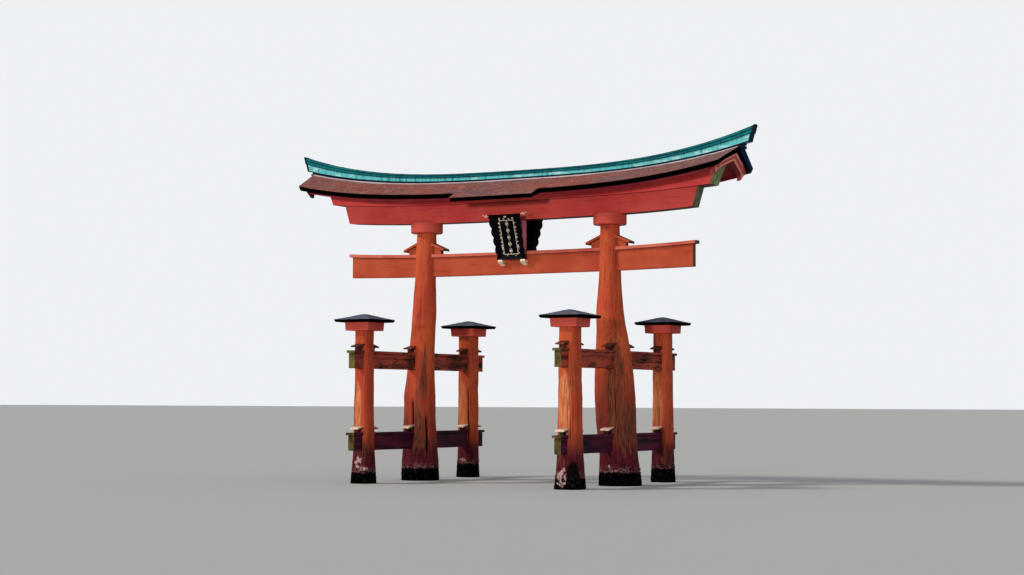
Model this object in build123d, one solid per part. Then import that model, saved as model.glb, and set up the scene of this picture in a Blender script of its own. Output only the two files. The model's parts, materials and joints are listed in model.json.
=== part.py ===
from build123d import *
import math
import os

# Four-legged timber gate that stands in water.
# Sizes are in millimetres. X runs along the gate, the front faces -Y, Z = 0 is the water level.

# Main pillars
pillar_foot_x = 5450.0
pillar_top_x = 5050.0
pillar_height = 12045.0
trunk_sides = 20
trunk_unevenness = 0.025
# Each trunk is given as share of its height, diameter and outward sway from its straight axis.
left_trunk = (
    (0.0, 1850.0, -90.0),
    (0.075, 1790.0, -75.0),
    (0.134, 1680.0, -20.0),
    (0.25, 1540.0, 60.0),
    (0.343, 1550.0, 100.0),
    (0.427, 1340.0, 80.0),
    (0.553, 1210.0, 30.0),
    (0.687, 1180.0, -20.0),
    (0.804, 1030.0, -20.0),
    (1.0, 960.0, 0.0),
)
right_trunk = (
    (0.0, 2000.0, 110.0),
    (0.067, 1860.0, 110.0),
    (0.126, 1740.0, 80.0),
    (0.25, 1880.0, 0.0),
    (0.352, 1900.0, -30.0),
    (0.436, 1790.0, -30.0),
    (0.561, 1500.0, -60.0),
    (0.67, 1260.0, -150.0),
    (0.796, 1010.0, -90.0),
    (1.0, 920.0, 0.0),
)

# Round capitals on the main pillars
capital_diameter = 1560.0
capital_height = 560.0
capital_edge = 45.0
saddle_depth = 130.0

# Side posts, hewn square with rounded corners
post_x = 5500.0
post_y = 4670.0
post_height = 7140.0
post_waist = 3400.0
post_corner_share = 0.30
post_corner_steps = 3
# Each post is given as its width at foot, waist and head.
front_left_post = (1060.0, 815.0, 745.0)
front_right_post = (1260.0, 950.0, 855.0)
rear_left_post = (1050.0, 895.0, 875.0)
rear_right_post = (1080.0, 900.0, 795.0)
# Share of the waist height, and of the extra width of the foot that is left there.
post_flare = ((0.0, 1.0), (0.2, 0.58), (0.45, 0.24), (1.0, 0.0))

# Square block and little roof on each side post
block_width_low = 1290.0
block_width_high = 1340.0
block_height = 400.0
cap_roof_width = 2020.0
cap_roof_edge = 110.0
cap_roof_edge_share = 0.96
cap_roof_height = 375.0
# Slope of the little roof, as share of its height and of its width.
cap_roof_slope = ((0.0, 1.0), (0.40, 0.60), (0.80, 0.25), (1.0, 0.05))

# Main tie beam through the pillars
tie_half_length = 9360.0
tie_drop = 2145.0
tie_height = 930.0
tie_thickness = 300.0
tie_bottom_rise = 80.0
tie_top_rise = 185.0
tie_cap_thickness = 150.0
tie_cap_overhang = 100.0
tie_cap_end_overhang = 140.0

# Side tie beams through post, pillar and post
side_tie_x = 5470.0
side_tie_half_length = 5750.0
side_tie_thickness = 340.0
side_tie_height = 720.0
upper_side_tie_bottom = 5360.0
lower_side_tie_bottom = 1540.0
side_cap_thickness = 120.0
side_cap_overhang = 60.0
side_cap_end_overhang = 100.0

# Wedges on the ties and the sloping boards that shelter the mortises
side_wedge_length = 290.0
side_wedge_width = 190.0
side_wedge_height = 250.0
side_canopy_length = 450.0
side_canopy_width = 450.0
side_canopy_drop = 105.0
side_canopy_thickness = 70.0
main_wedge_length = 430.0
main_wedge_width = 260.0
main_wedge_height = 420.0
main_canopy_length = 650.0
main_canopy_width = 580.0
main_canopy_drop = 285.0
main_canopy_thickness = 110.0

# Lower and upper lintel
lower_lintel_height = 890.0
lower_lintel_thickness = 720.0
lower_lintel_low_half = 9420.0
lower_lintel_end_lean = 0.30
lintel_rise = 220.0
lintel_rise_half = 9420.0
upper_lintel_thickness = 1000.0
upper_lintel_low_half = 10340.0
upper_lintel_end_lean = 0.40

# Bark roof: heights are above the joint of the two lintels at mid length
roof_half_depth = 1950.0
crest_height = 1030.0
crest_flat = 300.0
knee_depth = 1150.0
knee_height = 680.0
eave_height = 350.0
bark_thickness = 200.0
crest_thickness = 150.0
eave_undercut = 60.0
roof_rise = 850.0
roof_rise_half = 11600.0
verge_half = 11710.0
verge_lean = 0.40
porch_depth = 490.0
porch_drop = 270.0
porch_thickness = 175.0
porch_root = 100.0
porch_root_thickness = 150.0
porch_inner_half = 2310.0
porch_outer_half = 2200.0

# Boards below the bark
deck_thickness = 60.0
deck_inset = 120.0
eave_board_width = 170.0
eave_board_height = 70.0
barge_height = 340.0
barge_thickness = 180.0
barge_inset = 190.0
barge_joint = 0.15
barge_reach = 1650.0
barge_tip_width = 300.0
barge_tip_drop = 110.0
barge_shoulder = 180.0

# Copper ridge in layers, with the share of its height at which each layer ends
ridge_base_half_width = 400.0
ridge_base_thickness = 42.0
ridge_height = 480.0
ridge_rise = 1370.0
ridge_rise_half = 12400.0
neck_half_width = 110.0
neck_share = 0.11
lip_half_width = 172.0
lip_share = 0.20
body_half_width = 145.0
body_share = 0.55
cap_half_width = 165.0
# Half lengths of the layers, where their leaning end planes pass the height of the tips.
ridge_base_half = 12060.0
neck_half = 12150.0
body_half = 12370.0
cap_half = 12400.0
ridge_end_lean = 0.30

# Centre strut and the two plaques
strut_width = 940.0
strut_depth = 400.0
plaque_foot_rise = 745.0
plaque_foot_y = 260.0
plaque_lean = 18.5
plaque_head_half = 890.0
plaque_foot_half = 775.0
plaque_height = 2215.0
plaque_lobes = 5
lobe_points = 6
lobe_depth = 65.0
panel_width = 860.0
panel_height = 1800.0
panel_thickness = 70.0
frame_slope = 0.43
frame_thickness = 55.0
plaque_bracket_spacing = 1240.0
plaque_bracket_width = 230.0
plaque_bracket_height = 270.0
plaque_bracket_nose = 80.0
stay_size = 60.0
stay_spacing = 620.0
stay_rise = 1480.0

# Clearances
seat_gap = 0.3
mortise_gap = 0.3

# Heights at mid length that follow from the sizes above
tie_bottom = pillar_height - tie_drop
lintel_bottom = pillar_height + capital_height - saddle_depth
lintel_seam = lintel_bottom + lower_lintel_height
ridge_top = lintel_seam + crest_height + ridge_height
plaque_bottom = tie_bottom + plaque_foot_rise

# Stations along X at which the long curved members bend, out past their ends
stations_each_side = 13
station_crowding = 0.75
station_margin = 600.0
long_half = max(ridge_base_half, neck_half, body_half, cap_half, verge_half) + station_margin


def rise(x, amount, half):
    """Upward curve of a long member: level at mid length and steeper to the tips."""
    return amount * (abs(x) / half) ** 3


def places():
    """Stations along X, the same for all members and closer together to the tips."""
    shares = [i / stations_each_side for i in range(1, stations_each_side + 1)]
    right = [long_half * share ** station_crowding for share in shares]
    return [-x for x in reversed(right)] + [0.0] + right


def flat_face(points):
    """Flat face inside a closed outline of points."""
    return Face(Wire(Polyline(*points, close=True)))


def skin(rings):
    """Solid with flat sides between rings that have as many points each, run the same way."""
    faces = [flat_face(rings[0]), flat_face(rings[-1])]
    count = len(rings[0])
    for ring, following in zip(rings, rings[1:]):
        for i in range(count):
            j = (i + 1) % count
            faces.append(flat_face((ring[i], ring[j], following[j], following[i])))
    return Solid(Shell(faces))


def extruded(points, direction):
    """Solid swept by a flat outline of points in a straight line."""
    return Solid.extrude(flat_face(points), Vector(*direction))


def elevation(low, high, y0, y1):
    """Curved board between two height functions of x, from depth y0 to y1."""
    outline = [(x, y0, low(x)) for x in places()]
    outline += [(x, y0, high(x)) for x in reversed(places())]
    return extruded(outline, (0, y1 - y0, 0))


def along(section):
    """Curved member whose YZ section, a closed outline of points, is a function of x."""
    return skin([[(x, y, z) for y, z in section(x)] for x in places()])


def end_region(half, height, lean):
    """Tall region between two end planes that lean outward and pass half at the given height."""
    low = half - lean * height
    high = half + lean * height
    outline = ((-low, -long_half, 0), (low, -long_half, 0),
               (high, -long_half, 2 * height), (-high, -long_half, 2 * height))
    return extruded(outline, (0, 2 * long_half, 0))


def box(x0, x1, y0, y1, z0, z1):
    """Box between two corners."""
    return Solid.make_box(x1 - x0, y1 - y0, z1 - z0, Plane((x0, y0, z0)))


def front_to_rear(solid):
    """The same piece on the rear side."""
    return solid.mirror(Plane.XZ)


def solids_of(shape):
    """Separate solids of a cut piece, the slivers left out."""
    return [s for s in shape.solids() if s.volume > 1e5]


# Main pillars and their capitals


def pillar_axis(side, share, sway):
    """X of the centre of a main pillar at a share of its height."""
    return side * (pillar_foot_x + (pillar_top_x - pillar_foot_x) * share + sway)


def trunk_of(side):
    """Rows of the trunk on one side."""
    return left_trunk if side < 0 else right_trunk


def trunk_at(side, z):
    """Centre along X and radius of a main pillar at height z."""
    share = min(z / pillar_height, 1.0)
    rows = trunk_of(side)
    for lower, upper in zip(rows, rows[1:]):
        if share <= upper[0]:
            part = (share - lower[0]) / (upper[0] - lower[0])
            diameter, sway = [lower[k] + (upper[k] - lower[k]) * part for k in (1, 2)]
            return pillar_axis(side, share, sway), diameter / 2


def trunk_solid(side, margin=0.0):
    """Natural trunk, flared at the foot, grown outward by a margin."""
    start = 0.6 if side > 0 else 2.1
    rings = []
    for share, diameter, sway in trunk_of(side):
        ring = []
        for i in range(trunk_sides):
            angle = 2 * math.pi * i / trunk_sides
            lobes = math.sin(3 * angle + start) + 0.5 * math.cos(2 * angle)
            radius = (diameter / 2 + margin) * (1 + trunk_unevenness * lobes)
            x = pillar_axis(side, share, sway) + radius * math.cos(angle)
            ring.append((x, radius * math.sin(angle), share * pillar_height))
        rings.append(ring)
    return skin(rings)


def tie_low(x):
    """Underside of the main tie."""
    return tie_bottom + rise(x, tie_bottom_rise, tie_half_length)


def tie_top(x):
    """Top of the main tie."""
    return tie_bottom + tie_height + rise(x, tie_top_rise, tie_half_length)


def tie_cap_low(x):
    """Underside of the board that lies on the main tie."""
    return tie_top(x) + seat_gap


def tie_cap_top(x):
    """Top of the board that lies on the main tie."""
    return tie_cap_low(x) + tie_cap_thickness


def main_tie_mortise():
    """Room through both pillars for the main tie and the board on it."""
    half = tie_thickness / 2 + mortise_gap
    wide = half + tie_cap_overhang
    beam = elevation(lambda x: tie_low(x) - mortise_gap, tie_cap_low, -half, half)
    board = elevation(tie_top, lambda x: tie_cap_top(x) + mortise_gap, -wide, wide)
    return beam.fuse(board)


def side_tie_mortise(side, bottom):
    """Room through posts and pillar for a side tie."""
    half = side_tie_thickness / 2 + mortise_gap
    reach = 2 * side_tie_half_length
    top = bottom + side_tie_height + mortise_gap
    x = side * side_tie_x
    return box(x - half, x + half, -reach, reach, bottom - mortise_gap, top)


def main_pillar(side):
    """Main pillar with the mortises for its three ties."""
    solid = trunk_solid(side) - main_tie_mortise()
    for bottom in (upper_side_tie_bottom, lower_side_tie_bottom):
        solid = solid - side_tie_mortise(side, bottom)
    return solid


def lintel_under(x):
    """Underside of the lower lintel."""
    return lintel_bottom + rise(x, lintel_rise, lintel_rise_half)


def lintel_joint(x):
    """Plane between the lower and the upper lintel."""
    return lintel_seam + rise(x, lintel_rise, lintel_rise_half)


def pillar_capital(side):
    """Round ring with soft edges and a saddle in which the lower lintel lies."""
    r = capital_diameter / 2
    bottom = pillar_height + seat_gap
    top = bottom + capital_height
    profile = (
        (0, 0, bottom),
        (r - capital_edge, 0, bottom),
        (r, 0, bottom + capital_edge),
        (r, 0, top - capital_edge),
        (r - capital_edge, 0, top),
        (0, 0, top),
    )
    ring = Pos(side * pillar_top_x, 0, 0) * Solid.revolve(flat_face(profile), 360, Axis.Z)
    half = lower_lintel_thickness / 2 + seat_gap
    return ring - elevation(lambda x: lintel_under(x) - seat_gap, lintel_joint, -half, half)


# Side posts with their blocks and little roofs


def rounded_square(half, radius):
    """Points round a square with rounded corners about the origin."""
    points = []
    for corner, (x, y) in enumerate(((1, 1), (-1, 1), (-1, -1), (1, -1))):
        for step in range(post_corner_steps + 1):
            angle = math.pi / 2 * (corner + step / post_corner_steps)
            centre = half - radius
            points.append((x * centre + radius * math.cos(angle), y * centre + radius * math.sin(angle)))
    return points


def post_widths(sx, sy):
    """Widths of the post on one side (-1 is left) and end (-1 is front)."""
    left, right = (front_left_post, front_right_post) if sy < 0 else (rear_left_post, rear_right_post)
    return left if sx < 0 else right


def post_solid(sx, sy, margin=0.0):
    """Hewn post that widens to the foot, grown outward by a margin."""
    foot, waist, head = post_widths(sx, sy)
    rows = [(post_waist * share, waist + (foot - waist) * extra) for share, extra in post_flare]
    rows.append((post_height, head))
    rings = []
    for z, width in rows:
        half = width / 2 + margin
        outline = rounded_square(half, 2 * half * post_corner_share)
        rings.append([(sx * post_x + x, sy * post_y + y, z) for x, y in outline])
    return skin(rings)


def side_post(sx, sy):
    """Side post with the mortises for its two ties."""
    solid = post_solid(sx, sy)
    for bottom in (upper_side_tie_bottom, lower_side_tie_bottom):
        solid = solid - side_tie_mortise(sx, bottom)
    return solid


def stacked_squares(sx, sy, rows):
    """Solid through squares, each given as height and width, on the axis of a side post."""
    rings = []
    for z, width in rows:
        corners = ((1, 1), (-1, 1), (-1, -1), (1, -1))
        rings.append([(sx * post_x + x * width / 2, sy * post_y + y * width / 2, z) for x, y in corners])
    return skin(rings)


def post_block(sx, sy):
    """Square block, a little wider at the top."""
    bottom = post_height + seat_gap
    return stacked_squares(sx, sy, ((bottom, block_width_low), (bottom + block_height, block_width_high)))


def post_roof(sx, sy):
    """Thin roof with four hollow slopes."""
    bottom = post_height + block_height + 2 * seat_gap
    eave = bottom + cap_roof_edge
    slope = cap_roof_height - cap_roof_edge
    rows = [(bottom, cap_roof_width * cap_roof_edge_share)]
    rows += [(eave + slope * up, cap_roof_width * share) for up, share in cap_roof_slope]
    return stacked_squares(sx, sy, rows)


# Tie beams with their boards, wedges and canopies


def main_tie():
    """Long tie through both pillars, curved up a little to its ends."""
    beam = elevation(tie_low, tie_top, -tie_thickness / 2, tie_thickness / 2)
    return beam & end_region(tie_half_length, tie_bottom, 0.0)


def main_tie_cap():
    """Board along the top of the main tie."""
    half = tie_thickness / 2 + tie_cap_overhang
    board = elevation(tie_cap_low, tie_cap_top, -half, half)
    return board & end_region(tie_half_length + tie_cap_end_overhang, tie_bottom, 0.0)


def side_tie(side, bottom):
    """Tie from the front post through the main pillar to the rear post."""
    half = side_tie_thickness / 2
    x = side * side_tie_x
    return box(x - half, x + half, -side_tie_half_length, side_tie_half_length, bottom, bottom + side_tie_height)


def grown_legs(side):
    """Pillar and posts of one side, grown by the seat gap, to shape what butts against them."""
    return [trunk_solid(side, seat_gap), post_solid(side, -1, seat_gap), post_solid(side, 1, seat_gap)]


def side_tie_caps(side, bottom, legs):
    """Board on a side tie, in lengths that butt against the legs."""
    half = side_tie_thickness / 2 + side_cap_overhang
    reach = side_tie_half_length + side_cap_end_overhang
    z = bottom + side_tie_height + seat_gap
    x = side * side_tie_x
    board = box(x - half, x + half, -reach, reach, z, z + side_cap_thickness)
    for leg in legs:
        board = board - leg
    return solids_of(board)


def sloped_board(reach, width, low, drop, thickness):
    """Board from x = 0 that slopes down along +X, with its underside at low."""
    top = low + thickness
    outline = ((0, -width / 2, top), (reach, -width / 2, top - drop),
               (reach, -width / 2, low - drop), (0, -width / 2, low))
    return extruded(outline, (0, width, 0))


def wedge(reach, width, seat, top, slope):
    """Block from x = 0 with its top cut to the slope of the board on it."""
    outline = ((0, -width / 2, seat), (reach, -width / 2, seat),
               (reach, -width / 2, top - slope * reach), (0, -width / 2, top))
    return extruded(outline, (0, width, 0))


def outer_piece(solid, leg, away):
    """Part of a solid that is left outside a leg, on the side it points to."""
    pieces = solids_of(solid - leg)
    return max(pieces, key=lambda piece: piece.center().dot(Vector(*away)))


def main_shelter(side):
    """Canopies and wedges on both sides of a main pillar, over the main tie."""
    leg = trunk_solid(side, seat_gap)
    centre, radius = trunk_at(side, tie_bottom + tie_height)
    reach = radius + main_canopy_length
    slope = main_canopy_drop / main_canopy_length
    top = tie_cap_top(centre) + main_wedge_height + slope * radius
    under = elevation(tie_low, lambda x: tie_cap_top(x) + seat_gap, -main_wedge_width, main_wedge_width)
    canopies = []
    wedges = []
    for way in (-1, 1):
        turn = Pos(centre, 0, 0) * Rot(0, 0, 0 if way > 0 else 180)
        low = wedge(radius + main_wedge_length, main_wedge_width, tie_bottom + tie_height, top, slope)
        board = sloped_board(reach, main_canopy_width, top + seat_gap, slope * reach, main_canopy_thickness)
        canopies.append(outer_piece(turn * board, leg, (way, 0, 0)))
        wedges.append(outer_piece(turn * low - under, leg, (way, 0, 0)))
    return canopies, wedges


def side_shelter(side, bottom, legs):
    """Canopies and wedges at the front and rear face of each leg, over one side tie."""
    seat = bottom + side_tie_height + side_cap_thickness + 2 * seat_gap
    slope = side_canopy_drop / side_canopy_length
    waist = [post_widths(side, sy)[1] / 2 for sy in (-1, 1)]
    canopies = []
    wedges = []
    for leg, y, radius in ((legs[0], 0.0, trunk_at(side, seat)[1]),
                           (legs[1], -post_y, waist[0]),
                           (legs[2], post_y, waist[1])):
        top = seat + side_wedge_height + slope * radius
        reach = radius + side_canopy_length
        for way in (-1, 1):
            turn = Pos(side * side_tie_x, y, 0) * Rot(0, 0, 90 * way)
            low = wedge(radius + side_wedge_length, side_wedge_width, seat, top, slope)
            board = sloped_board(reach, side_canopy_width, top + seat_gap, slope * reach, side_canopy_thickness)
            canopies.append(outer_piece(turn * board, leg, (0, way, 0)))
            wedges.append(outer_piece(turn * low, leg, (0, way, 0)))
    return canopies, wedges


# Lintels and roof


def lower_lintel():
    """Box beam on the capitals, with leaning ends."""
    beam = elevation(lintel_under, lintel_joint, -lower_lintel_thickness / 2, lower_lintel_thickness / 2)
    return beam & end_region(lower_lintel_low_half, lintel_under(lower_lintel_low_half), lower_lintel_end_lean)


def roof_level(height, x):
    """Height at x of a roof line that lies at height above the lintel joint at mid length."""
    return lintel_seam + height + rise(x, roof_rise, roof_rise_half)


def bark_under(y):
    """Underside of the bark at depth y, above the lintel joint."""
    knee_under = knee_height - bark_thickness
    if y <= knee_depth:
        crest_under = crest_height - crest_thickness
        return crest_under + (knee_under - crest_under) * y / knee_depth
    eave_under = eave_height - bark_thickness
    part = (y - knee_depth) / (roof_half_depth - eave_undercut - knee_depth)
    return knee_under + (eave_under - knee_under) * part


def deck_top(y):
    """Top of the boards below the bark at depth y, above the lintel joint."""
    return bark_under(y) - seat_gap


def deck_under(y):
    """Underside of the boards below the bark at depth y, above the lintel joint."""
    return deck_top(y) - deck_thickness


def roof_member(outline):
    """Member that follows the curve of the roof, from its outline of depths and heights at mid length."""
    return along(lambda x: [(y, roof_level(height, x)) for y, height in outline])


def verge_region(inset):
    """Region between the gable planes, moved inward by an inset."""
    return end_region(verge_half - inset, roof_level(crest_height, verge_half), verge_lean)


def upper_lintel(margin=0.0):
    """Upper beam with a ridged top that carries the roof boards, grown outward by a margin."""
    half = upper_lintel_thickness / 2 + margin

    def section(x):
        seat = lintel_joint(x) + seat_gap - margin
        side = roof_level(deck_under(half) - seat_gap + margin, x)
        crest = roof_level(deck_under(0) - seat_gap + margin, x)
        return ((-half, seat), (half, seat), (half, side), (0, crest), (-half, side))

    low = upper_lintel_low_half
    return along(section) & end_region(low + margin, lintel_joint(low), upper_lintel_end_lean)


def porch():
    """Deeper stretch of the front eave over the plaque."""
    root = roof_half_depth - eave_undercut - porch_root
    outer = roof_half_depth + porch_depth
    low = eave_height - porch_drop
    member = roof_member((
        (-root, bark_under(root) + porch_root_thickness),
        (-roof_half_depth, eave_height),
        (-outer, low),
        (-outer + eave_undercut, low - porch_thickness),
        (-root, bark_under(root)),
    ))
    outline = ((-porch_inner_half, 0, 0), (porch_inner_half, 0, 0),
               (porch_inner_half, -roof_half_depth, 0), (porch_outer_half, -outer, 0),
               (-porch_outer_half, -outer, 0), (-porch_inner_half, -roof_half_depth, 0))
    return member & extruded(outline, (0, 0, 2 * lintel_seam))


def bark_slope():
    """Front slope of thick bark with its cut eave and the deeper eave over the plaque."""
    edge = roof_half_depth - eave_undercut
    slope = roof_member((
        (0, crest_height),
        (-crest_flat, crest_height),
        (-knee_depth, knee_height),
        (-roof_half_depth, eave_height),
        (-edge, bark_under(edge)),
        (-knee_depth, bark_under(knee_depth)),
        (0, bark_under(0)),
    ))
    return (slope & verge_region(0.0)).fuse(porch())


def board_region():
    """Region between the inner faces of the gable boards."""
    return verge_region(barge_inset + barge_thickness + seat_gap)


def deck():
    """Boards below the front slope of bark."""
    edge = roof_half_depth - eave_undercut - deck_inset
    tops = [(-y, deck_top(y)) for y in (0.0, knee_depth, edge)]
    lows = [(-y, deck_under(y)) for y in (edge, knee_depth, 0.0)]
    return roof_member(tops + lows) & board_region()


def eave_board():
    """Edge board along the underside of the front eave."""
    outer = roof_half_depth - eave_undercut - deck_inset
    inner = outer - eave_board_width
    low = deck_under(outer) - seat_gap - eave_board_height
    member = roof_member((
        (-inner, deck_under(inner) - seat_gap),
        (-outer, deck_under(outer) - seat_gap),
        (-outer, low),
        (-inner, low),
    ))
    return member & board_region()


def barge_boards():
    """The four gable boards, front and rear on both ends, with pointed lower tips."""
    tip = barge_reach - barge_tip_width / 2
    inner = barge_reach - barge_tip_width
    band = roof_member((
        (-barge_joint, deck_top(0)),
        (-knee_depth, deck_top(knee_depth)),
        (-barge_reach, deck_top(barge_reach)),
        (-barge_reach, bark_under(barge_reach) - barge_shoulder),
        (-tip, bark_under(tip) - barge_height - barge_tip_drop),
        (-inner, bark_under(inner) - barge_height),
        (-knee_depth, bark_under(knee_depth) - barge_height),
        (-barge_joint, bark_under(0) - barge_height),
    ))
    band = band & verge_region(barge_inset)
    front = solids_of(band - verge_region(barge_inset + barge_thickness) - upper_lintel(seat_gap))
    return front + [front_to_rear(board) for board in front]


# Copper ridge


def ridge_foot(x):
    """Top of the plate on which the ridge stands."""
    return roof_level(crest_height + seat_gap + ridge_base_thickness, x)


def ridge_crown(x):
    """Top of the ridge."""
    return ridge_top + rise(x, ridge_rise, ridge_rise_half)


def ridge_level(share):
    """Height function at a share of the ridge height above its base plate."""

    def level(x):
        low = ridge_foot(x) + seat_gap
        return low + (ridge_crown(x) - low) * share

    return level


def ridge_ends(half):
    """Region between the leaning end planes of one layer of the ridge."""
    return end_region(half, ridge_crown(cap_half), ridge_end_lean)


def ridge_base():
    """Plate that folds over the crest of the bark."""
    half = ridge_base_half_width
    fall = (crest_height - knee_height) / (knee_depth - crest_flat) * (half - crest_flat)
    low = crest_height + seat_gap
    top = low + ridge_base_thickness
    outline = ((-half, low - fall), (-crest_flat, low), (crest_flat, low), (half, low - fall),
               (half, top - fall), (crest_flat, top), (-crest_flat, top), (-half, top - fall))
    return roof_member(outline) & ridge_ends(ridge_base_half)


def ridge_layer(low_share, high_share, half_width, half_length):
    """One layer of the ridge, cut on the leaning end planes."""
    layer = elevation(ridge_level(low_share), ridge_level(high_share), -half_width, half_width)
    return layer & ridge_ends(half_length)


def ridge_body():
    """Main band of the ridge with the lip along its foot."""
    lip = ridge_layer(neck_share, lip_share, lip_half_width, body_half)
    band = ridge_layer(neck_share, body_share, body_half_width, body_half)
    return lip.fuse(band)


# Centre strut and plaques


def centre_strut():
    """Short post between main tie and lower lintel, flat on both."""
    half_width = strut_width / 2
    half_depth = strut_depth / 2
    post = elevation(lambda x: tie_cap_top(x) + seat_gap, lambda x: lintel_under(x) - seat_gap,
                     -half_depth, half_depth)
    return post & box(-half_width, half_width, -half_depth, half_depth, tie_bottom, lintel_seam)


def lean_forward(shape):
    """Sets a plaque piece on its leaning plane in front of the main tie."""
    return Pos(0, -plaque_foot_y, plaque_bottom) * Rot(plaque_lean, 0, 0) * shape


def frame_point(x, z):
    """Point on the back of the plaque's frame, which slopes forward from the panel."""
    return (x, -frame_slope * (abs(x) - panel_width / 2 - seat_gap), z)


def lobed_side(sign):
    """Outer edge of one side board of the plaque, in lobes from foot to head."""
    points = []
    count = plaque_lobes * lobe_points
    for i in range(count + 1):
        share = i / count
        half = plaque_foot_half + (plaque_head_half - plaque_foot_half) * share
        half -= lobe_depth * (1 - abs(math.cos(math.pi * plaque_lobes * share)))
        points.append(frame_point(sign * half, plaque_height * share))
    return points


def plaque_frame():
    """Four sloping boards mitred round the panel: lobed sides, straight head and foot."""
    half = panel_width / 2 + seat_gap
    low = (plaque_height - panel_height) / 2 - seat_gap
    high = (plaque_height + panel_height) / 2 + seat_gap
    inner = {}
    outer = {}
    for sign in (-1, 1):
        inner[sign] = [frame_point(sign * half, low), frame_point(sign * half, high)]
        outer[sign] = lobed_side(sign)
    outlines = [inner[sign] + outer[sign][::-1] for sign in (-1, 1)]
    for k in (0, -1):
        outlines.append([inner[-1][k], inner[1][k], outer[1][k], outer[-1][k]])
    boards = [extruded(outline, (0, -frame_thickness, 0)) for outline in outlines]
    return lean_forward(boards[0].fuse(boards[2]).fuse(boards[3]).fuse(boards[1]))


def plaque_panel():
    """Flat panel in the middle of the plaque."""
    half = panel_width / 2
    margin = (plaque_height - panel_height) / 2
    return lean_forward(box(-half, half, -panel_thickness, 0, margin, margin + panel_height))


def plaque_brackets():
    """Two brackets on the face of the main tie under the plaque."""
    face = tie_thickness / 2 + seat_gap
    lean = math.radians(plaque_lean)
    forward = frame_thickness - frame_point(plaque_foot_half, 0)[1]
    reach = plaque_foot_y + forward * math.cos(lean)
    top = plaque_bottom - forward * math.sin(lean) - seat_gap
    brackets = []
    for sx in (-1, 1):
        x0 = sx * plaque_bracket_spacing / 2 - plaque_bracket_width / 2
        outline = ((x0, -face, top), (x0, -reach, top), (x0, -reach, top - plaque_bracket_nose),
                   (x0, -face, top - plaque_bracket_height))
        brackets.append(extruded(outline, (plaque_bracket_width, 0, 0)))
    return brackets


def plaque_stays():
    """Two bars from the strut to the back of the plaque panel."""
    lean = math.radians(plaque_lean)
    face = strut_depth / 2 + seat_gap
    low = plaque_bottom + stay_rise
    stays = []
    for sx in (-1, 1):
        x0 = sx * stay_spacing / 2 - stay_size / 2
        ends = []
        for z in (low, low + stay_size):
            ends.append(plaque_foot_y + (z - plaque_bottom) * math.tan(lean) - seat_gap / math.cos(lean))
        outline = ((x0, -face, low), (x0, -ends[0], low),
                   (x0, -ends[1], low + stay_size), (x0, -face, low + stay_size))
        stays.append(extruded(outline, (stay_size, 0, 0)))
    return stays


# The gate


def build_gate():
    """All pieces of the gate by node name."""
    nodes = {}

    def add(name, pieces):
        nodes.setdefault(name, []).extend(pieces)

    for side, name in ((-1, "left"), (1, "right")):
        add("main_pillar_" + name, [main_pillar(side)])
        add("pillar_capital_" + name, [pillar_capital(side)])
        for sy, end in ((-1, "front"), (1, "rear")):
            add("side_post_" + end + "_" + name, [side_post(side, sy)])
            add("post_blocks", [post_block(side, sy)])
            add("post_roofs", [post_roof(side, sy)])
        canopies, wedges = main_shelter(side)
        add("main_tie_canopies", canopies)
        add("main_tie_wedges", wedges)
        legs = grown_legs(side)
        for level, bottom in (("upper", upper_side_tie_bottom), ("lower", lower_side_tie_bottom)):
            add(level + "_side_tie_" + name, [side_tie(side, bottom)])
            add(level + "_side_tie_caps", side_tie_caps(side, bottom, legs))
            canopies, wedges = side_shelter(side, bottom, legs)
            add(level + "_side_canopies", canopies)
            add(level + "_side_wedges", wedges)
    add("main_tie", [main_tie()])
    add("main_tie_cap", [main_tie_cap()])
    add("lower_lintel", [lower_lintel()])
    add("upper_lintel", [upper_lintel()])
    for name, make in (("bark_roof", bark_slope), ("roof_deck", deck), ("eave_board", eave_board)):
        piece = make()
        add(name + "_front", [piece])
        add(name + "_rear", [front_to_rear(piece)])
    for board in barge_boards():
        add("barge_boards_left" if board.center().X < 0 else "barge_boards_right", [board])
    add("ridge_base", [ridge_base()])
    add("ridge_neck", [ridge_layer(0.0, neck_share, neck_half_width, neck_half)])
    add("ridge_body", [ridge_body()])
    add("ridge_cap", [ridge_layer(body_share, 1.0, cap_half_width, cap_half)])
    add("centre_strut", [centre_strut()])
    for name, pieces in (("front_plaque_frame", [plaque_frame()]), ("front_plaque_panel", [plaque_panel()]),
                         ("plaque_feet", plaque_brackets()), ("plaque_stays", plaque_stays())):
        add(name, pieces)
        add(name.replace("front", "rear"), [front_to_rear(piece) for piece in pieces])
    return nodes


def save(nodes):
    """Writes each node to its own file."""
    os.makedirs("parts", exist_ok=True)
    for name, pieces in nodes.items():
        solids = []
        for piece in pieces:
            solids += solids_of(piece)
        shape = solids[0] if len(solids) == 1 else Compound(solids)
        shape.label = name
        export_step(shape, "parts/" + name + ".step")


save(build_gate())
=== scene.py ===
import json
import math
import random

import bmesh
import bpy
import numpy as np
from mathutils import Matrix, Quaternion, Vector, noise


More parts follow.
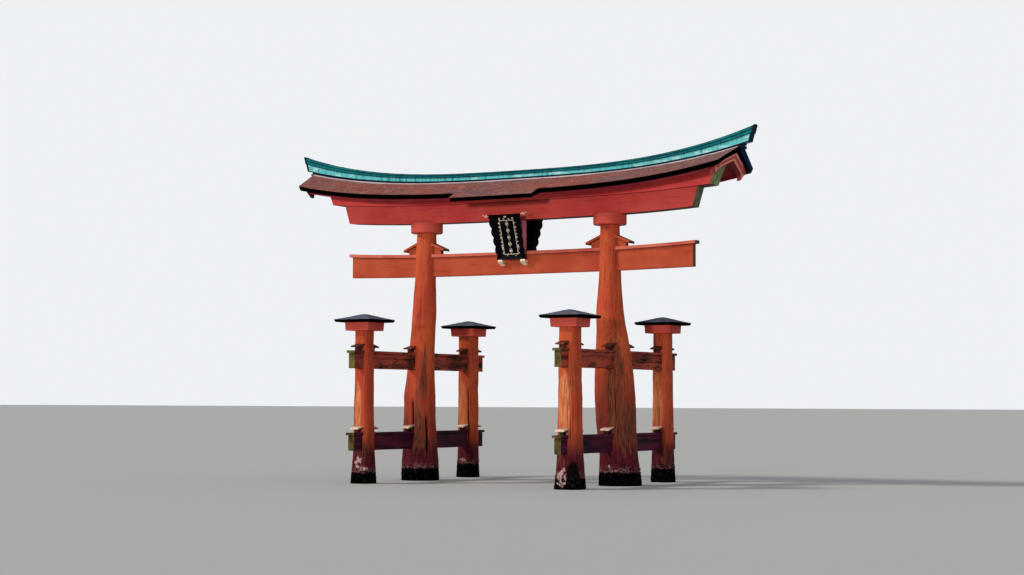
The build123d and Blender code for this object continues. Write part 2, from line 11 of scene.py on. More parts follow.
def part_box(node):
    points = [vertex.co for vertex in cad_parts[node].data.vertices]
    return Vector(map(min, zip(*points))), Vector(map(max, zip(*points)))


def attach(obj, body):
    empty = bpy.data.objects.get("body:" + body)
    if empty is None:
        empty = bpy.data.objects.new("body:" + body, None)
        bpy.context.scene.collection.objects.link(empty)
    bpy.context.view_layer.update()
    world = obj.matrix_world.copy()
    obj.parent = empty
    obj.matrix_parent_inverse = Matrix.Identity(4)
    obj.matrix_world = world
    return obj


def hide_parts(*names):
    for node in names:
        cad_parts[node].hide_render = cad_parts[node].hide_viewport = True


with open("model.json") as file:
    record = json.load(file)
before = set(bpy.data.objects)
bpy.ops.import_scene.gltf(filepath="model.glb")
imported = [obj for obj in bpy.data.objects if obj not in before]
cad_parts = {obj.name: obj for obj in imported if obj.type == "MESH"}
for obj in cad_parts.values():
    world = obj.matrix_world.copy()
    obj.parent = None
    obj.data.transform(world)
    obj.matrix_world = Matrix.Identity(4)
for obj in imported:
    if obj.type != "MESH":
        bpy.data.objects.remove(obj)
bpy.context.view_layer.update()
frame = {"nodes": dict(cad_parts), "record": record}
random.seed(7)

# Camera, at the photo's viewing angle
camera_place = (47.16, -81.10, 3.896)
camera_heading = 30.29
camera_pitch = 3.28
camera_roll = 0.17
camera_lens = 69.26

# Lamps: name, direction of travel, strength, softness in degrees and tint
light_rows = (
    ("key", (0.62, 0.52, -0.58), 1.95, 9.0, (1.0, 0.96, 0.90)),
    ("fill", (-0.12, 0.98, -0.05), 1.08, 5.0, (1.0, 0.98, 0.96)),
)
# Tint and strength of the light from all round and of the backdrop
sky_light = ((0.93, 0.97, 1.0, 1.0), 0.42)
backdrop = ((0.86, 0.88, 0.90, 1.0), 1.0)
floor_tone = (0.50, 0.50, 0.495, 1.0)
floor_half = 900.0

# Legs: points round a pillar and a post, height of a row of points, smoothing up in metres and
# round in points, room round a tie, and number and size of the barnacles on a foot
pillar_round = 160
post_round = 112
leg_step = 0.06
leg_blur = 0.25
round_blur = 4
tie_room = 0.008
barnacle_count = 520
barnacle_size = (0.014, 0.034)
# Trunk surface: depth and fineness of the swells, depth of flutes, cracks, bulges and holes, and
# distance from its middle at which a patch has died out, as a share of its half size
swells = ((0.022, 0.9), (0.010, 2.6))
flute_depth = 0.012
crack_depth = 0.012
bulge_height = 0.07
hole_depth = 0.13
patch_reach = 1.3

# Height of the black wet band on each leg
tide = {
    "main_pillar_left": 0.60,
    "main_pillar_right": 0.62,
    "side_post_front_left": 0.51,
    "side_post_front_right": 0.48,
    "side_post_rear_left": 0.67,
    "side_post_rear_right": 0.64,
}
# Heights between which the paint darkens downward
darkening_heights = {"main_pillar_left": (6.2, 1.6), "main_pillar_right": (7.6, 2.0)}
post_darkening_heights = (3.4, 1.0)
# Long grooves: angle round the trunk, top and foot height, half width in degrees, depth
grooves = {
    "main_pillar_left": ((-84, 4.0, 1.9, 4.5, 0.07), (-33, 3.2, 1.3, 5.0, 0.11), (150, 4.4, 1.4, 5.0, 0.06)),
    "main_pillar_right": ((-60, 4.6, 2.9, 1.6, 0.03), (110, 5.2, 1.8, 4.0, 0.06)),
    "side_post_front_right": ((-62, 5.0, 1.0, 1.6, 0.02),),
    "side_post_rear_left": ((-58, 4.6, 1.2, 3.0, 0.04),),
}
# Patches: kind, angle, height, half width in degrees, half height
# The lighter orange patches lie on the faces toward the key light: partly sun-faded paint, partly painted
# sunlight
patches = {
    "main_pillar_left": (
        ("bare", -46, 5.2, 18, 1.6), ("bare", -62, 2.4, 30, 1.2), ("swell", -8, 2.2, 26, 0.9)),
    "main_pillar_right": (
        ("bare", -56, 5.4, 30, 2.1), ("bare", -38, 2.8, 44, 1.4), ("bare", -68, 4.4, 22, 1.6),
        ("pale", -92, 0.85, 4, 0.16)),
    "side_post_front_left": (
        ("bare", -60, 1.55, 30, 0.45), ("pale", -88, 0.92, 26, 0.34), ("pale", -60, 0.66, 30, 0.12),
        ("fade_and_sunlight", -98, 3.6, 26, 1.5)),
    "side_post_front_right": (
        ("pale", -100, 0.48, 26, 0.52), ("pale", -20, 0.75, 12, 0.14), ("hole", -46, 0.68, 30, 0.50),
        ("fade_and_sunlight", -95, 3.5, 42, 2.0)),
    "side_post_rear_left": (("pale", -86, 0.85, 30, 0.14), ("fade_and_sunlight", -98, 3.4, 36, 1.8)),
    "side_post_rear_right": (("bare", -55, 1.2, 20, 0.4), ("fade_and_sunlight", -112, 3.5, 52, 2.4)),
}

# Bark roof: what shows of a course, its overlap, how far the first course stands out, depth from the
# crest at which the last one ends, and layers of a cut edge
course_exposure = 0.052
course_lap = 1.55
eave_overhang = 0.012
last_course = 0.36
edge_layers = 7
# Shingle: length, how far its ends wander, thickness and how uneven that is, how ragged and how high it lies
shingle_length = 0.34
shingle_wander = 0.32
shingle_butt = 0.016
butt_uneven = (0.6, 1.25)
shingle_ragged = (-0.009, 0.007)
shingle_raise = (0.004, 0.012)

# Ridge: pitch and half width of the seams and battens, height of the drip strip, and end plates with
# the layer they close, their growth past it and their thickness
seam_pitch = 0.92
seam_half = 0.016
batten_pitch = 0.46
batten_half = 0.018
drip_tall = 0.05
plate_rows = (("ridge_cap", 0.026, 0.065), ("ridge_body", 0.018, 0.065), ("ridge_neck", 0.012, 0.12),
              ("ridge_base", 0.012, 0.10))

# Gable mouldings: height and thickness
moulding_tall = 0.11
moulding_thick = 0.028

# Post roofs: courses on a slope, layers of the eave, and length of a board, how far its ends wander,
# its thickness and how ragged it lies
post_courses = 13
post_layers = 3
post_board = 0.17
post_wander = 0.25
post_butt = (0.010, 0.018)
post_ragged = (-0.008, 0.006)


# Nodes of materials


class Field:
    """Number, vector or colour that varies over a surface. Numbers can be added and multiplied."""

    def __init__(self, nodes, socket):
        self.nodes = nodes
        self.socket = socket

    def __add__(self, other):
        return self.nodes.math("ADD", self, other)

    def __sub__(self, other):
        return self.nodes.math("SUBTRACT", self, other)

    def __rsub__(self, other):
        return self.nodes.math("SUBTRACT", other, self)

    def __mul__(self, other):
        return self.nodes.math("MULTIPLY", self, other)

    def along(self, axis):
        """What a vector has along an axis, given as its number."""
        return self.nodes.node("SeparateXYZ", {0: self}, axis)


class Nodes:
    """Short way to write the nodes of a material or a world."""

    def __init__(self, owner):
        owner.use_nodes = True
        self.tree = owner.node_tree
        self.tree.nodes.clear()

    def node(self, kind, values=None, output=0, **settings):
        """One output of a new node. Values go to its inputs, settings to the node."""
        node = self.tree.nodes.new("ShaderNode" + kind)
        for name, setting in settings.items():
            setattr(node, name, setting)
        for name, value in (values or {}).items():
            if isinstance(value, Field):
                self.tree.links.new(value.socket, node.inputs[name])
            else:
                node.inputs[name].default_value = value
        return Field(self, node.outputs[output]) if node.outputs else None

    def math(self, operation, a, b=0.0):
        return self.node("Math", {0: a, 1: b}, operation=operation)


def linear(tone, share=1.0):
    """Linear colour from 0 to 255 display values, times a share. Other colours are passed on."""
    if isinstance(tone, Field) or len(tone) != 3:
        return tone
    levels = [value / 255 for value in tone]
    levels = [v / 12.92 if v <= 0.04045 else ((v + 0.055) / 1.055) ** 2.4 for v in levels]
    return (*(min(1.0, v * share) for v in levels), 1.0)


class Graph(Nodes):
    """A material. Plain colours are given as display values."""

    def __init__(self, name):
        self.material = bpy.data.materials.new(name)
        super().__init__(self.material)
        self.place = self.node("TexCoord", output="Object")
        self.facing = self.node("NewGeometry", output="Normal")

    def scaled(self, x=1.0, y=1.0, z=1.0, shift=0.0):
        """Coordinates stretched along each axis."""
        values = {"Vector": self.place, "Scale": (x, y, z), "Location": (shift, shift, shift)}
        return self.node("Mapping", values)

    def grain(self, axis, stretch=0.06):
        """Coordinates drawn out along the grain, which runs along the named axis."""
        return self.scaled(**{axis: stretch})

    def noise(self, vector, scale, detail=4.0, rough=0.55, twist=0.0):
        values = {"Vector": vector, "Scale": scale, "Detail": detail, "Roughness": rough, "Distortion": twist}
        return self.node("TexNoise", values, "Fac")

    def cells(self, scale, output):
        return self.node("TexVoronoi", {"Vector": self.scaled(), "Scale": scale}, output)

    def attribute(self, name):
        return self.node("Attribute", output="Fac", attribute_name=name)

    def step(self, value, low, high, share=1.0):
        """0 below low, a share above high, smooth between. High may be under low."""
        values = {"Value": value, "From Min": low, "From Max": high, "To Max": share}
        return self.node("MapRange", values, interpolation_type="SMOOTHSTEP")

    def mix(self, share, a, b, blend="MIX"):
        values = {0: share, 6: linear(a), 7: linear(b)}
        return self.node("Mix", values, 2, data_type="RGBA", blend_type=blend)

    def lay(self, base, *coats):
        """Base with coats over it: tone, value that says where, its low and high, and share of the tone."""
        for tone, value, low, high, *share in coats:
            base = self.mix(self.step(value, low, high, *share), base, tone)
        return base

    def bump(self, height, strength, distance, under=None):
        values = {"Height": height, "Strength": strength, "Distance": distance}
        if under:
            values["Normal"] = under
        return self.node("Bump", values)

    def finish(self, base, rough, normal=None, metallic=0.0, gloss=0.04, dull=None):
        """The material with this surface. Gloss goes to nothing where dull is 1."""
        values = {"Base Color": base, "Roughness": rough, "Metallic": metallic, "Specular IOR Level": gloss}
        if normal:
            values["Normal"] = normal
        shader = self.node("BsdfPrincipled", values)
        if dull:
            shine = shader.socket.node.inputs["Specular IOR Level"]
            self.tree.links.new(((1.0 - dull) * gloss).socket, shine)
        self.node("OutputMaterial", {"Surface": shader})
        return self.material


# Materials


def leg_look():
    """Vermilion trunks: streaked and peeling, wine red near the water and black at the foot."""
    graph = Graph("trunk_paint")
    height = graph.place.along(2)
    above, crevice_shade, pale = (graph.attribute(name) for name in ("above_tide", "crevice_shade", "pale"))
    broad = graph.noise(graph.scaled(z=0.5), 0.9)
    streak = graph.noise(graph.grain("z"), 8.0, 5.0, 0.62)
    thin = graph.noise(graph.grain("z"), 26.0, 4.0, 0.6)
    speck = graph.noise(graph.scaled(shift=3.0), 14.0, 4.0, 0.7)
    blot = graph.noise(graph.scaled(shift=5.0), 5.5, 4.0, 0.6, 0.6)
    # Lighter orange for the faces toward the key light: sun-faded paint and painted sunlight
    faded = graph.lay((190, 98, 62), ((226, 148, 96), thin, 0.40, 0.62))
    # Paint darker towards the bottom of each leg
    darkening = graph.lay((66, 24, 28), ((136, 52, 42), thin, 0.36, 0.64))
    wine = graph.lay((44, 8, 20), ((94, 26, 40), thin, 0.35, 0.65))
    wood = graph.lay((52, 28, 25), ((120, 68, 48), thin, 0.34, 0.62))
    paint = graph.lay(
        (198, 88, 52), ((184, 72, 48), broad, 0.36, 0.66), ((208, 118, 66), streak, 0.54, 0.72, 0.65),
        ((122, 44, 34), streak, 0.48, 0.28, 0.75), ((78, 34, 28), thin, 0.42, 0.26, 0.55),
        (faded, graph.attribute("fade_and_sunlight") + (streak - 0.5) * 1.6, 0.25, 0.95, 0.85),
        (darkening, graph.attribute("darkening") + (streak - 0.5) * 0.9, 0.12, 1.05, 0.92),
        (wine, height + broad * 0.8, 2.5, 1.7, 0.9))
    wear_zone = graph.step(height, 7.5, 5.0) * graph.step(height, 0.6, 2.2)
    lift = streak + thin * 0.55 + graph.attribute("bare") * 0.22 + wear_zone * 0.07
    bare = graph.step(lift, 0.90, 1.02)
    base = graph.mix(bare * 0.85, paint, wood)
    # Painted shade: cracks, grooves and holes are painted near black
    base = graph.mix(crevice_shade, base, (8, 4, 6))
    salt = graph.step(above, 0.34, 0.02, 0.6) * graph.step(speck + blot * 0.5, 0.72, 0.90)
    crust = (speck - 0.5) * 1.2 + (blot - 0.5) * 3.4
    crusted = graph.step(pale * 0.72 + crust, 0.50, 0.74) * graph.step(pale, 0.0, 0.15)
    salt = graph.math("MAXIMUM", salt, crusted) * graph.step(crevice_shade, 0.7, 0.3)
    base = graph.mix(salt, base, graph.mix(speck, (118, 62, 62), (212, 186, 180)))
    ragged = above + (graph.noise(graph.scaled(), 5.0, 5.0, 0.6) - 0.5) * 0.30
    wet = graph.step(ragged, 0.035, -0.02) * (1.0 - crusted * 0.9)
    base = graph.mix(wet, base, graph.lay((1, 1, 3), ((14, 13, 14), speck, 0.50, 0.75)))
    normal = graph.bump(streak * 0.6 + thin * 0.4, 0.7, 0.014)
    normal = graph.bump(bare - salt * 0.8, 0.5, -0.005, normal)
    normal = graph.bump(graph.cells(22.0, "Distance"), 0.25, 0.01, normal)
    return graph.finish(base, 0.62 - wet * 0.22, normal, dull=wet)


def painted_timber(name, paint, shade, axis, peel, dirt=None, dirt_share=0.0, ends=None, under=None,
                   inner=None):
    """Painted timber: streaked and faded paint over brown wood. Mossy ends have their own tone; the underside
    and the faces turned to the middle of the gate may get a darker tone, which is painted shade."""
    graph = Graph(name)
    streak = graph.noise(graph.grain(axis), 9.0, 5.0, 0.62)
    fine = graph.noise(graph.grain(axis), 34.0, 4.0, 0.6)
    base = graph.lay(paint, (shade, graph.noise(graph.scaled(), 0.5), 0.38, 0.64),
                     (linear(paint, 0.42), streak, 0.46, 0.26, 0.55),
                     (linear(paint, 1.5), fine, 0.58, 0.74, 0.30))
    wood = graph.lay((64, 38, 32), ((132, 82, 58), fine, 0.35, 0.65))
    lift = graph.noise(graph.grain(axis, 0.3), 2.4, 5.0, 0.65) + streak * 0.45
    bare = graph.step(lift, 0.98 - peel, 1.03 - peel)
    base = graph.mix(bare, base, wood)
    if dirt:
        stain = graph.noise(graph.grain(axis), 4.0, 6.0, 0.66)
        base = graph.lay(base, (dirt, stain, 0.44, 0.62, dirt_share))
    # Painted shade: a darker tone on faces turned down
    if under:
        base = graph.lay(base, (under, graph.facing.along(2), -0.3, -0.8))
    # Painted shade: a darker tone on faces turned to the middle of the gate
    if inner:
        outward = (graph.facing.along(0) - graph.facing.along(1) * 0.35) * graph.place.along(0)
        base = graph.lay(base, (inner, outward, 6.0, 2.0))
    if ends:
        moss = graph.noise(graph.scaled(z=0.35), 7.0, 5.0, 0.65)
        tone = graph.lay(ends, (linear(ends, 0.35), moss, 0.38, 0.64))
        facing = graph.math("ABSOLUTE", graph.facing.along("xyz".index(axis)))
        base = graph.lay(base, (tone, facing, 0.6, 0.8))
    normal = graph.bump(streak * 0.7 + fine * 0.3, 0.6, 0.010)
    normal = graph.bump(bare, 0.5, -0.004, normal)
    return graph.finish(base, bare * 0.3 + 0.55, normal)


def bark_look():
    """Cypress bark: brown pink with fine grain and grey weathered patches, with painted shade in dark
    blue-black on cut ends and lower faces.
    """
    graph = Graph("bark_brown")
    fine = graph.noise(graph.scaled(0.5), 20.0, 5.0, 0.7)
    middle = graph.noise(graph.scaled(0.45, shift=4.0), 6.0, 5.0, 0.65)
    broad = graph.noise(graph.scaled(0.35), 1.1, 5.0, 0.6)
    base = graph.lay(
        (152, 88, 78), ((128, 94, 94), broad, 0.36, 0.66),
        ((122, 100, 102), graph.place.along(0), 3.0, 11.5, 0.7),
        ((88, 50, 50), middle, 0.48, 0.34, 0.6), ((188, 142, 130), middle, 0.54, 0.68, 0.5),
        ((64, 36, 36), fine, 0.50, 0.32, 0.6), ((198, 160, 150), fine, 0.56, 0.70, 0.6))
    # Painted shade: cut ends and faces turned down are painted dark blue-black
    cut_end = graph.step(graph.math("ABSOLUTE", graph.facing.along(0)), 0.5, 0.7)
    painted_shade = graph.math("MAXIMUM", cut_end, graph.step(graph.facing.along(2), -0.03, -0.12))
    base = graph.mix(painted_shade, base, (8, 10, 20))
    return graph.finish(base, 0.92, graph.bump(fine, 0.8, 0.012), gloss=0.0)


def edge_look(name, base, light):
    """Cut edge of the bark and other near black edges."""
    graph = Graph(name)
    layer = graph.noise(graph.scaled(0.2, 0.2), 60.0, 3.0)
    tone = graph.lay(base, (light, layer, 0.45, 0.7))
    return graph.finish(tone, 0.85, graph.bump(layer, 0.5, 0.006), gloss=0.0)


def copper_look(name, body, dark, pale, run, pale_share):
    """Copper gone green, with runs down its face."""
    graph = Graph(name)
    runs = graph.noise(graph.scaled(z=0.12), 7.0, 5.0, 0.65)
    speck = graph.noise(graph.scaled(), 40.0, 3.0, 0.6)
    cloud = graph.noise(graph.scaled(0.4), 2.2, 5.0, 0.6)
    base = graph.lay(body, (dark, runs, 0.52, 0.34, run), (pale, cloud, 0.50, 0.68, pale_share),
                     (pale, speck, 0.56, 0.74, 0.25))
    return graph.finish(base, speck * 0.25 + 0.48, graph.bump(runs * 0.6 + speck * 0.4, 0.3, 0.006))


def post_roof_look():
    """Small grey roofs on the posts."""
    graph = Graph("post_roof_grey")
    fine = graph.noise(graph.scaled(), 16.0, 5.0, 0.7)
    base = graph.lay((66, 72, 86), ((116, 122, 134), fine, 0.36, 0.66))
    base = graph.mix(0.25, base, graph.cells(6.0, "Color"), "SOFT_LIGHT")
    return graph.finish(base, 0.85, graph.bump(fine, 0.5, 0.008))


def cloudy_look(name, first, second, cloud, span, rough, uneven, relief, metallic=0.0, gloss=0.04):
    """Two tones in soft clouds, which may also change how rough the surface is."""
    graph = Graph(name)
    field = graph.noise(graph.scaled(), *cloud)
    base = graph.lay(first, (second, field, *span))
    rough = field * uneven + rough if uneven else rough
    return graph.finish(base, rough, graph.bump(field, *relief), metallic, gloss)


# Painted timber: name, paint, shade, axis of the grain, peeling, and what else it has
# An under tone in a row is painted shade on the faces turned down
timber_rows = (
    ("tie_paint", (184, 82, 54), (172, 68, 46), "x", 0.01, {"ends": (92, 80, 52)}),
    ("board_paint", (212, 112, 92), (186, 82, 70), "x", 0.03, {"under": (70, 20, 22), "ends": (104, 92, 88)}),
    ("lintel_paint", (216, 82, 72), (202, 66, 64), "x", 0.0,
     {"under": (84, 44, 38), "ends": (118, 120, 92)}),
    # The upper lintel's paint is lighter than the lower one's: painted light against the eave's shadow
    ("upper_lintel_paint", (234, 86, 82), (220, 68, 72), "x", 0.0,
     {"under": (84, 44, 38), "ends": (150, 166, 116)}),
    # The rose and trim paints carry painted shade on faces turned to the middle of the gate
    ("rose_paint", (218, 90, 80), (202, 72, 66), "y", 0.0, {"inner": (58, 28, 34)}),
    ("strut_paint", (250, 142, 160), (236, 118, 140), "z", 0.0, {}),
    ("trim_paint", (250, 160, 148), (238, 140, 130), "y", 0.0, {"inner": (58, 28, 34)}),
    ("soffit_paint", (154, 50, 58), (128, 38, 48), "y", 0.0, {}),
    ("worn_paint", (188, 80, 62), (158, 66, 54), "y", 0.22,
     {"dirt": (40, 20, 22), "dirt_share": 0.75, "ends": (112, 100, 54)}),
    ("wet_timber", (92, 28, 54), (56, 16, 40), "y", 0.08,
     {"dirt": (14, 5, 16), "dirt_share": 0.8, "ends": (92, 78, 44)}),
    ("shelter_paint", (124, 66, 50), (88, 48, 42), "y", 0.10,
     {"dirt": (40, 24, 24), "dirt_share": 0.7, "under": (26, 12, 15)}),
    ("grey_shelter", (250, 222, 198), (238, 200, 172), "y", 0.05,
     {"dirt": (150, 116, 98), "dirt_share": 0.35, "under": (30, 14, 17)}),
    ("block_paint", (210, 86, 72), (194, 74, 64), "x", 0.0, {}),
    # The ridge board's ends tone is painted shade on its end faces
    ("ridge_board", (206, 190, 194), (180, 164, 168), "x", 0.0, {"ends": (10, 14, 30)}),
)
# Copper: name, body, dark runs, pale clouds, and shares of the runs and clouds
copper_rows = (
    ("copper_cap", (6, 104, 110), (1, 68, 80), (28, 154, 146), 0.8, 0.45),
    ("copper_body", (92, 190, 190), (20, 112, 120), (206, 240, 238), 0.85, 0.7),
    ("copper_lip", (160, 222, 222), (80, 176, 174), (222, 244, 242), 0.4, 0.6),
    ("copper_dark", (14, 32, 48), (5, 14, 28), (26, 58, 68), 0.5, 0.15),
)
materials = [painted_timber(*row[:5], **row[5]) for row in timber_rows]
materials += [copper_look(*row) for row in copper_rows]
materials += [
    leg_look(), bark_look(), post_roof_look(),
    edge_look("bark_edge", (1, 1, 1), (6, 4, 5)),
    # The verge edge's navy is painted shade tinted by sky light on the shaded cut edge
    edge_look("verge_edge", (28, 48, 78), (54, 80, 112)),
    cloudy_look("black_lacquer", (2, 2, 4), (5, 6, 18), (3.0, 5.0), (0.4, 0.65), 0.45, 0.2, (0.15, 0.01),
                gloss=0.03),
    cloudy_look("gilt", (255, 244, 220), (240, 200, 156), (9.0, 5.0, 0.65), (0.40, 0.64), 0.35, 0.25,
                (0.25, 0.006), 0.1, 0.4),
    cloudy_look("shell_grey", (7, 6, 8), (52, 46, 44), (12.0, 3.0), (0.42, 0.66), 0.8, 0.0, (0.3, 0.004)),
]
looks = {material.name: material for material in materials}

# Look of each slot, and of the nodes that differ from their slot
slot_looks = {
    "vermilion_trunk": "trunk_paint",
    "vermilion_timber": "tie_paint",
    "worn_red_timber": "worn_paint",
    "wet_dark_timber": "wet_timber",
    "deep_red_timber": "lintel_paint",
    "pink_boards": "rose_paint",
    "grey_roof_boards": "post_roof_grey",
    "bark": "bark_brown",
    "green_copper": "copper_body",
    "dark_lacquer": "black_lacquer",
    "gilt_metal": "gilt",
}
node_looks = {
    "roof_deck_front": "soffit_paint",
    "roof_deck_rear": "soffit_paint",
    # The eave boards take the darker soffit paint: painted shade under the bark's edge
    "eave_board_front": "soffit_paint",
    "eave_board_rear": "soffit_paint",
    # The neck's dark copper is painted shade of the recess under the band
    "ridge_neck": "copper_dark",
    "ridge_base": "ridge_board",
    "plaque_stays": "black_lacquer",
    "pillar_capital_left": "block_paint",
    "pillar_capital_right": "block_paint",
}
slots = {part["node"]: part["material_slot"] for part in frame["record"]["subparts"]}


def dress_nodes():
    """Gives every carried-over node its look."""
    for name, node in frame["nodes"].items():
        node.data.materials.clear()
        node.data.materials.append(looks[node_looks.get(name, slot_looks[slots[name]])])


# Making pieces


def place(name, data):
    """New object in the scene."""
    thing = bpy.data.objects.new(name, data)
    bpy.context.scene.collection.objects.link(thing)
    return thing


def make_piece(name, mesh, look, slot, stands_for=(), crease=38.0):
    """One visible piece that rides on the gate and may stand for CAD nodes."""
    mesh.materials.append(looks[look])
    mesh.shade_smooth()
    mesh.set_sharp_from_angle(angle=math.radians(crease))
    piece = place(name, mesh)
    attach(piece, "root")
    if stands_for:
        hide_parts(*stands_for)


class Batch:
    """Closed shapes gathered in one mesh."""

    def __init__(self):
        self.points = []
        self.faces = []

    def add(self, rings):
        """Closed skin over rings that have as many points each."""
        start, count = len(self.points), len(rings[0])
        self.points += [tuple(p) for ring in rings for p in ring]
        last = len(self.points) - count
        self.faces += [tuple(range(start + count - 1, start - 1, -1)), tuple(range(last, last + count))]
        for first in range(start, last, count):
            for i in range(count):
                j = (i + 1) % count
                self.faces.append((first + i, first + j, first + count + j, first + count + i))

    def mesh(self, name):
        mesh = bpy.data.meshes.new(name)
        mesh.from_pydata(self.points, [], self.faces)
        work = bmesh.new()
        work.from_mesh(mesh)
        bmesh.ops.recalc_face_normals(work, faces=work.faces)
        work.to_mesh(mesh)
        work.free()
        return mesh

    def finish(self, name, look, slot, stands_for=(), crease=38.0):
        make_piece(name, self.mesh(name), look, slot, stands_for, crease)


def strip(path, out, tall):
    """Rings of a small bar along a path of points, with its section given by two vectors."""
    return [[p, p + out, p + out + tall, p + tall] for p in path]


def tube(route, radii, sides=6):
    """Rings of a round bar that follows a route of points."""
    angles = [2 * math.pi * i / sides for i in range(sides)]
    rings = []
    for k, (point, radius) in enumerate(zip(route, radii)):
        turn = (route[min(k + 1, len(route) - 1)] - route[max(k - 1, 0)]).to_track_quat("Z", "Y")
        rings.append([point + turn @ Vector((radius * math.cos(a), radius * math.sin(a), 0)) for a in angles])
    return rings


def softened(name, look, radius=0.014):
    """Copy of a CAD node with worn round edges, which stands for it."""
    work = bmesh.new()
    work.from_mesh(frame["nodes"][name].data)
    bmesh.ops.remove_doubles(work, verts=work.verts, dist=1e-5)
    bmesh.ops.dissolve_limit(work, angle_limit=math.radians(1.5), verts=work.verts, edges=work.edges)
    sharp = [e for e in work.edges if len(e.link_faces) == 2 and e.calc_face_angle(0.0) > math.radians(35)]
    bmesh.ops.bevel(work, geom=sharp, offset=radius, segments=2, affect="EDGES", clamp_overlap=True)
    mesh = bpy.data.meshes.new("worn_" + name)
    work.to_mesh(mesh)
    work.free()
    make_piece("worn_" + name, mesh, look, slots[name], (name,))


def uneven_marks(count, wander):
    """Shares from -1 to 1 that part a course in a number of uneven lengths."""
    inner = [-1 + 2 * (k + random.uniform(-wander, wander)) / count for k in range(1, count)]
    return [-1.0] + inner + [1.0]


# Measures taken from the frame


def corners(node):
    """Corner points of a CAD node, each once."""
    mesh = frame["nodes"][node].data
    flat = np.empty(3 * len(mesh.vertices))
    mesh.vertices.foreach_get("co", flat)
    return np.unique(np.round(flat.reshape(-1, 3), 4), axis=0)


def quarters(node):
    """Corner points of a CAD node in each quarter of the plan, with the signs of x and y there."""
    points = corners(node)
    for sx in (-1, 1):
        for sy in (-1, 1):
            yield sx, sy, points[(points[:, 0] * sx > 0) & (points[:, 1] * sy > 0)]


class Bow:
    """Height along a long member: level at mid length and bent up by the cube of the distance."""

    def __init__(self, points, side):
        best = {}
        reach = np.abs(points[:, 0])
        for x, z in zip(reach, points[:, 2]):
            if x < 0.85 * reach.max():
                key = round(x, 2)
                best[key] = max(best.get(key, side * z), side * z)
        x = np.array(list(best))
        z = side * np.array(list(best.values()))
        basis = np.stack([np.ones(len(x)), x ** 3], axis=1)
        self.level, self.bend = np.linalg.lstsq(basis, z, rcond=None)[0]

    def __call__(self, x):
        return self.level + self.bend * abs(x) ** 3


def end_points(node, end=1):
    """Corner points of the end faces of a member, each once. End is 1 for the right, -1 for the left."""
    mesh = frame["nodes"][node].data
    far = max(v.co.x * end for v in mesh.vertices)
    spots = set()
    for face in mesh.polygons:
        if face.normal.x * end > 0.8 and face.center.x * end > 0.85 * far:
            spots |= {tuple(round(c, 4) for c in mesh.vertices[i].co) for i in face.vertices}
    return np.array(sorted(spots))


def end_line(node, end=1):
    """Lean of an end of a member, and its distance from mid length at height 0."""
    points = end_points(node, end)
    return np.polyfit(points[:, 2], points[:, 0] * end, 1)


def between(low, high):
    """Height at x of an outline point: depth, share of the way from low to high, and offset."""
    return lambda x, spot: low(x) + (high(x) - low(x)) * spot[1] + spot[2]


def bowed_rings(line, outline, height, step):
    """Rings along a bowed member with leaning ends. Height gives z from x and an outline point."""
    lean, start = line
    half = start + lean * height(start, outline[0])
    count = max(2, math.ceil(half / step))
    rings = []
    for k in range(-count, count + 1):
        share = k / count
        ring = []
        for spot in outline:
            x = share * half
            for _ in range(3):
                x = share * (start + lean * height(x, spot))
            ring.append(Vector((x, spot[0], height(x, spot))))
        rings.append(ring)
    return rings


# Legs


def ring_levels(node):
    """Rings of corner points of a leg, from foot to head, each with its height."""
    levels = {}
    for x, y, z in corners(node):
        levels.setdefault(round(z, 2), set()).add((x, y))
    return [(z, np.array(sorted(ring))) for z, ring in sorted(levels.items()) if len(ring) >= 14]


def radius_at(ring, centre, angles):
    """Distance from a centre to a ring of corner points in each direction."""
    offsets = ring - centre
    turns = np.arctan2(offsets[:, 1], offsets[:, 0])
    offsets = offsets[np.argsort(turns)]
    turns = np.sort(turns)
    following = np.roll(offsets, -1, axis=0)
    radii = []
    for angle in angles:
        i = (np.searchsorted(turns, angle) - 1) % len(turns)
        a, edge = offsets[i], following[i] - offsets[i]
        way = (math.cos(angle), math.sin(angle))
        radii.append((a[0] * edge[1] - a[1] * edge[0]) / (way[0] * edge[1] - way[1] * edge[0]))
    return np.array(radii)


def blurred(field, width, mode="edge"):
    """Field averaged over neighbours along its first axis."""
    padded = np.pad(field, ((width, width), (0, 0)), mode=mode)
    return sum(padded[k:k + len(field)] for k in range(2 * width + 1)) / (2 * width + 1)


def turn_between(angle, other):
    """Smallest turn between two angles in degrees."""
    return abs((angle - other + 180) % 360 - 180)


def smooth(value, low, high):
    """0 below low, 1 above high, smooth between."""
    share = min(max((value - low) / (high - low), 0.0), 1.0)
    return share * share * (3 - 2 * share)


def relief(spot):
    """Swell, flute and share of a crack at a spot of a trunk."""
    swell = sum(depth * noise.noise(spot * fine) for depth, fine in swells)
    flute = flute_depth * noise.noise(Vector((spot.x * 5, spot.y * 5, spot.z * 0.35)))
    crack = noise.noise(Vector((spot.x * 7, spot.y * 7, spot.z * 0.28 + 5)))
    where = noise.noise(Vector((spot.x * 1.5, spot.y * 1.5, spot.z * 0.4 + 11)))
    return swell, flute, max(0.0, 1 - abs(crack) / 0.05) * smooth(where, 0.02, 0.25)


